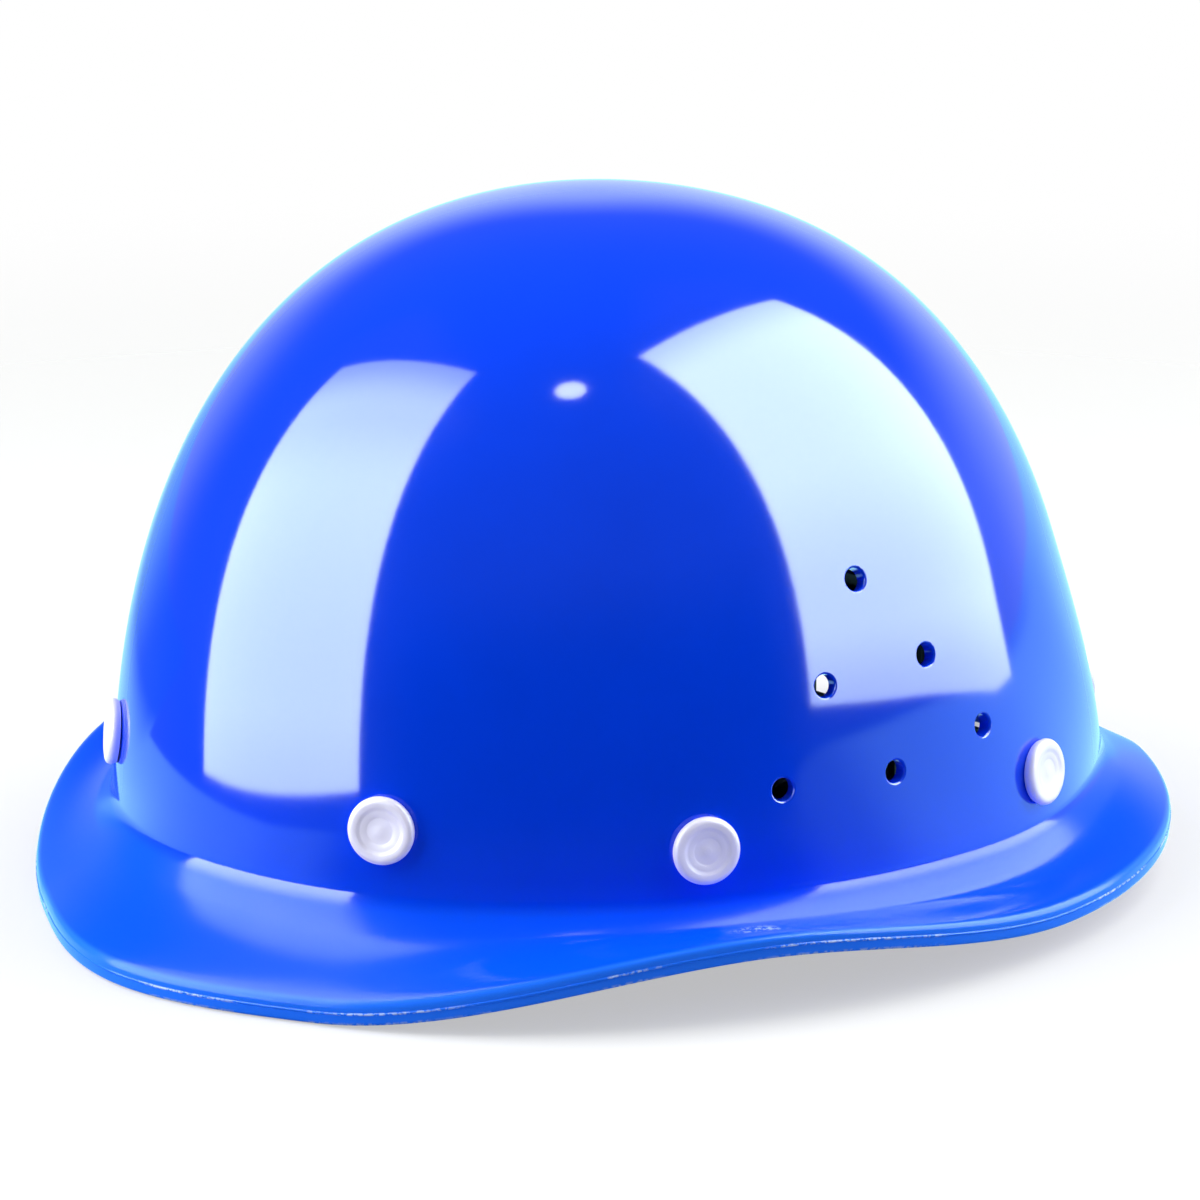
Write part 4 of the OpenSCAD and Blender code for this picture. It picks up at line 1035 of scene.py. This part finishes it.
@cache
def padCover():
    # knitted spacer cloth: small even cells, with a soft nap and painted shade in the hollows between cells
    mat, tree, bsdf, where = startMaterial("padCover")
    knit = {"Vector": where, "Scale": fabric["cells"], "Randomness": 0.35}
    cells = addNode(tree, "ShaderNodeTexVoronoi", knit, feature="SMOOTH_F1").outputs["Distance"]
    nap = noise(tree, where, fabric["nap"], 3.0)
    depth = maths(tree, "MULTIPLY_ADD", nap, 0.25, cells)
    grey = mottled(tree, fabric["pad"], 45.0, 0.12, where)
    # painted shade: the knit's hollows between cells are darker and the cell tops paler
    fill(tree, bsdf, {"Base Color": scaled(tree, grey, between(tree, depth, 1.35, 0.55, 0.1, 0.8)),
                      "Roughness": between(tree, nap, 0.78, 0.95),
                      "Sheen Weight": 0.35, "Sheen Roughness": 0.5,
                      "Normal": bumped(tree, maths(tree, "MULTIPLY", depth, -1.0), 0.6, 0.0002)})
    return mat


def dressCadNodes():
    makers = {"shell": gelCoat, "spring_steel": springSteel, "webbing": wovenTape, "padding": padCover,
              "white_nylon": lambda: moulded("whiteNylon"), "black_plastic": lambda: moulded("mouldedBlack"),
              "acetal": lambda: moulded("acetal")}
    slots = {row["node"]: row["material_slot"] for row in frame["record"]["subparts"]}
    for name, obj in nodes.items():
        obj.data.materials.clear()
        obj.data.materials.append(makers[slots[name]]())


# Studio: a white surround with two tall soft windows. A tent and a sheet of paper that only reflections see
# are dark on the camera's side and paler elsewhere, which gives the gloss its dark and light parts.
studio = {
    "ambient": 0.18, "ambientTint": (0.92, 1.15, 1.0, 1),
    "floorGlow": 0.5,         # how much of the floor's look is its own white, which softens the shadow
    "floorColour": (0.80, 0.80, 0.805, 1),
    "floorBounce": 0.52,      # the paper's colour as the object's sides are lit by it
    "floorHeight": -0.0003, "paperHeight": -0.0001,
    "floorRadius": 1.6, "floorFade": (0.25, 0.75),     # the floor ends inside the fade, and white takes over
    "lightsAim": 0.07,        # the height that both windows' lights are turned to
    "windows": {
        "left": {"centre": (-0.370, -0.559, 0.510), "x": (0.989, 0.080, 0.128), "y": (-0.146, 0.290, 0.946),
                 "width": 0.820, "height": 1.187, "power": 11.8, "farSide": 0.74,
                 "glow": [(0.0, 14.5), (0.12, 16.5), (0.45, 18.5), (0.7, 14.5), (1.0, 7.0)]},
        "right": {"centre": (0.377, 0.484, 0.593), "x": (-0.372, 0.918, -0.136), "y": (-0.363, -0.009, 0.932),
                  "width": 0.803, "height": 1.196, "power": 10.5, "farSide": 1.5,
                  "glow": [(0.0, 7.5), (0.12, 10.5), (0.4, 13.5), (0.75, 13.5), (1.0, 9.0)]},
    },
    "spot": {"azimuth": 57.0, "elevation": 69.3, "distance": 1.1, "overHeight": 0.12,
             "width": 0.115, "height": 0.100, "glow": 18.0, "colour": (0.86, 0.98, 1.0, 1)},
    # how bright the cloths look at each azimuth, and the paper by the object, in degrees from the peak
    "tentRound": [(-180, 0.90), (-130, 0.85), (-100, 0.45), (-72, 0.14), (-10, 0.14), (6, 0.10), (24, 0.0),
                  (92, 0.0), (104, 0.16), (140, 0.30), (165, 0.75), (180, 0.90)],
    "tentAbove": 0.14,
    "paperRound": [(-180, 0.85), (-100, 0.75), (-66, 0.75), (-40, 1.2), (-16, 1.2), (0, 0.8), (14, 0.05),
                   (84, 0.03), (98, 0.5), (116, 1.25), (150, 1.45), (180, 0.85)],
    # how far out the lit paper reaches at each azimuth, in metres
    "paperReach": [(-180, 1.2), (-120, 0.7), (-90, 0.32), (-62, 0.30), (-48, 0.48), (-10, 0.55), (20, 0.4),
                   (90, 0.4), (106, 1.5), (180, 1.5)],
    # the paper's own edge, which ends early in front of the left window, as that one reaches below it
    "paperEdge": [(-180, 2.4), (-62, 2.4), (-58, 0.29), (-8, 0.31), (14, 0.36), (18, 2.4), (180, 2.4)],
    "paperTint": (0.60, 1.30, 1.45, 1),
    "tentTint": (0.80, 1.0, 1.1, 1), "tentFade": (0.45, 1.5),
    "tentProfile": [(2.4, -0.8), (2.4, 1.6), (2.1, 2.3), (1.2, 2.7), (0, 2.8)],   # radius and height
    "paperFade": (0.7, 1.25),     # shares of the paper's reach
}


def onlyInReflections(obj):
    for ray in ("camera", "diffuse", "transmission", "shadow", "volume_scatter"):
        setattr(obj, "visible_" + ray, False)


def rightFrame(spot):
    x = Vector(spot["x"]).normalized()
    y = Vector(spot["y"])
    y = (y - x * y.dot(x)).normalized()
    return Matrix.Translation(spot["centre"]) @ Matrix((x, y, x.cross(y))).transposed().to_4x4()


def brightnessRamp(tree, position, stops):
    # greys are kept as a share of the brightest stop, because a ramp's colours end at 1
    top = max(level for _, level in stops)
    low, high = stops[0][0], stops[-1][0]
    ramp = addNode(tree, "ShaderNodeValToRGB", {"Fac": between(tree, position, 0.0, 1.0, low, high)})
    elements = ramp.color_ramp.elements
    ramp.color_ramp.interpolation = "EASE"
    while len(elements) > 1:
        elements.remove(elements[-1])
    for i, (at, level) in enumerate(stops):
        spot = (at - low) / (high - low)
        element = elements[0] if i == 0 else elements.new(spot)
        element.position = spot
        element.color = (level / top,) * 3 + (1,)
    return maths(tree, "MULTIPLY", ramp.outputs["Color"], top)


def glowMaterial(name, makeStrength, colour=(0.82, 1.0, 0.98, 1)):
    mat = bpy.data.materials.new(name)
    mat.use_nodes = True
    tree = mat.node_tree
    tree.nodes.clear()
    glow = addNode(tree, "ShaderNodeEmission", {"Color": colour, "Strength": makeStrength(tree)})
    addNode(tree, "ShaderNodeOutputMaterial", {"Surface": glow.outputs["Emission"]})
    return mat


def splitPosition(tree):
    return addNode(tree, "ShaderNodeSeparateXYZ", {"Vector": objectPosition(tree)}).outputs


def azimuthOf(tree, place):
    # degrees round from the peak, towards the wearer's left
    ahead = maths(tree, "MULTIPLY", place["Y"], -1.0)
    return maths(tree, "DEGREES", maths(tree, "ARCTAN2", place["X"], ahead))


def flatSheet(name, w, h):
    mesh = bpy.data.meshes.new(name)
    mesh.from_pydata([(-w, -h, 0), (w, -h, 0), (w, h, 0), (-w, h, 0)], [], [(0, 1, 2, 3)])
    return mesh


def makeWindow(name, s):
    w, h = s["width"] / 2, s["height"] / 2
    card = newObject(name + "Card", flatSheet(name, w, h))
    card.matrix_world = rightFrame(s)

    def strength(tree):
        place = splitPosition(tree)
        level = brightnessRamp(tree, between(tree, place["Y"], 0.0, 1.0, -h, h), s["glow"])
        return maths(tree, "MULTIPLY", level, between(tree, place["X"], s["farSide"], 1.0, -w, w))

    card.data.materials.append(glowMaterial(name + "Glow", strength))
    onlyInReflections(card)
    light = bpy.data.lights.new(name + "Light", "AREA")
    light.shape, light.size, light.size_y, light.energy = "RECTANGLE", s["width"], s["height"], s["power"]
    lamp = bpy.data.objects.new(name + "Light", light)
    scene.collection.objects.link(lamp)
    aimFrom(lamp, Vector(s["centre"]), Vector((0, 0, studio["lightsAim"])))
    lamp.visible_glossy = lamp.visible_camera = False


def makeSpot(s):
    # a small round lamp overhead, which shows as a bright dot on the crown
    bm = bmesh.new()
    bmesh.ops.create_circle(bm, cap_ends=True, segments=48, radius=0.5)
    lamp = newObject("overheadLamp", meshFrom(bm, "overheadLamp"))
    lamp.scale = (s["width"], s["height"], 1)
    over = Vector((0, 0, s["overHeight"]))
    aimFrom(lamp, over + directionTo(s["azimuth"], s["elevation"]) * s["distance"], over)
    lamp.data.materials.append(glowMaterial("overheadGlow", lambda tree: s["glow"], s["colour"]))
    onlyInReflections(lamp)


def makeCloths(s):
    bm = bmesh.new()
    latheInto(bm, s["tentProfile"], Matrix.Identity(4), 96)
    tent = newObject("darkTent", meshFrom(bm, "darkTent"))

    def tentStrength(tree):
        place = splitPosition(tree)
        low = brightnessRamp(tree, azimuthOf(tree, place), s["tentRound"])
        raised = between(tree, place["Z"], 0.0, 1.0, *s["tentFade"], interpolation_type="SMOOTHSTEP")
        return mixed(tree, raised, low, s["tentAbove"], "FLOAT")

    tent.data.materials.append(glowMaterial("tentCloth", tentStrength, s["tentTint"]))
    turns = np.arange(-180, 180, 2)
    rim = [directionTo(t, 0) * reach for t, reach in zip(turns, np.interp(turns, *zip(*s["paperEdge"])))]
    mesh = bpy.data.meshes.new("paperInGloss")
    mesh.from_pydata([(0, 0, 0)] + rim, [], [(0, k + 1, (k + 1) % len(rim) + 1) for k in range(len(rim))])
    paper = newObject("paperInGloss", mesh)
    paper.location.z = s["paperHeight"]

    def paperStrength(tree):
        azimuth = azimuthOf(tree, splitPosition(tree))
        near, reach, far = (brightnessRamp(tree, azimuth, s[key])
                            for key in ("paperRound", "paperReach", "tentRound"))
        past = maths(tree, "DIVIDE", distanceOf(tree, objectPosition(tree)), reach)
        fade = between(tree, past, 0.0, 1.0, *s["paperFade"], interpolation_type="SMOOTHSTEP")
        return mixed(tree, fade, near, far, "FLOAT")

    paper.data.materials.append(glowMaterial("paperGlow", paperStrength, s["paperTint"]))
    for cloth in (tent, paper):
        onlyInReflections(cloth)


def distanceOf(tree, where):
    return addNode(tree, "ShaderNodeVectorMath", {0: where}, operation="LENGTH").outputs["Value"]


def mixShaders(tree, share, first, second):
    return addNode(tree, "ShaderNodeMixShader", {"Fac": share, 1: first, 2: second}).outputs["Shader"]


def makeFloor():
    floor = newObject("floor", flatSheet("floor", studio["floorRadius"], studio["floorRadius"]))
    floor.location.z = studio["floorHeight"]
    mat, tree, bsdf, where = startMaterial("floorPaper")
    path = addNode(tree, "ShaderNodeLightPath", {}).outputs
    bounce = (studio["floorBounce"],) * 3 + (1,)
    fill(tree, bsdf, {"Base Color": mixed(tree, path["Is Diffuse Ray"], studio["floorColour"], bounce),
                      "Roughness": 0.9, "Specular IOR Level": 0.0})
    clear = addNode(tree, "ShaderNodeBsdfTransparent", {}).outputs["BSDF"]
    white = addNode(tree, "ShaderNodeEmission", {"Color": (1, 1, 1, 1), "Strength": 1.0}).outputs["Emission"]
    glow = maths(tree, "MULTIPLY", path["Is Camera Ray"], studio["floorGlow"])
    fade = between(tree, distanceOf(tree, where), 0.0, 1.0, *studio["floorFade"], interpolation_type="SMOOTHSTEP")
    faded = mixShaders(tree, fade, mixShaders(tree, glow, bsdf.outputs["BSDF"], white), clear)
    # seen from below the paper is clear, so that the inside can be looked at
    behind = addNode(tree, "ShaderNodeNewGeometry", {}).outputs["Backfacing"]
    fill(tree, tree.nodes["Material Output"], {"Surface": mixShaders(tree, behind, faded, clear)})
    floor.data.materials.append(mat)
    floor.visible_glossy = False


def makeWorld():
    world = bpy.data.worlds.new("surround")
    scene.world = world
    world.use_nodes = True
    tree = world.node_tree
    tree.nodes.clear()
    path = addNode(tree, "ShaderNodeLightPath", {}).outputs
    seen = maths(tree, "MAXIMUM", maths(tree, "MAXIMUM", path["Is Camera Ray"], path["Is Glossy Ray"]),
                 path["Is Transmission Ray"])
    back = addNode(tree, "ShaderNodeBackground", {
        "Color": mixed(tree, seen, studio["ambientTint"], (1, 1, 1, 1)),
        "Strength": between(tree, seen, studio["ambient"], 1.0, 0.0, 1.0)})
    addNode(tree, "ShaderNodeOutputWorld", {"Surface": back.outputs["Background"]})


def makeStudio():
    print("studio: floor, surround, lights")
    scene.view_settings.view_transform = "Standard"
    makeWorld()
    makeFloor()
    makeCloths(studio)
    makeSpot(studio["spot"])
    for name, s in studio["windows"].items():
        makeWindow(name, s)


makeCamera(cameraSettings)
makeStudio()
dressCadNodes()
makeShell()
makeRivets()
makeCrownStraps()
makeChinStrap()
makePads()
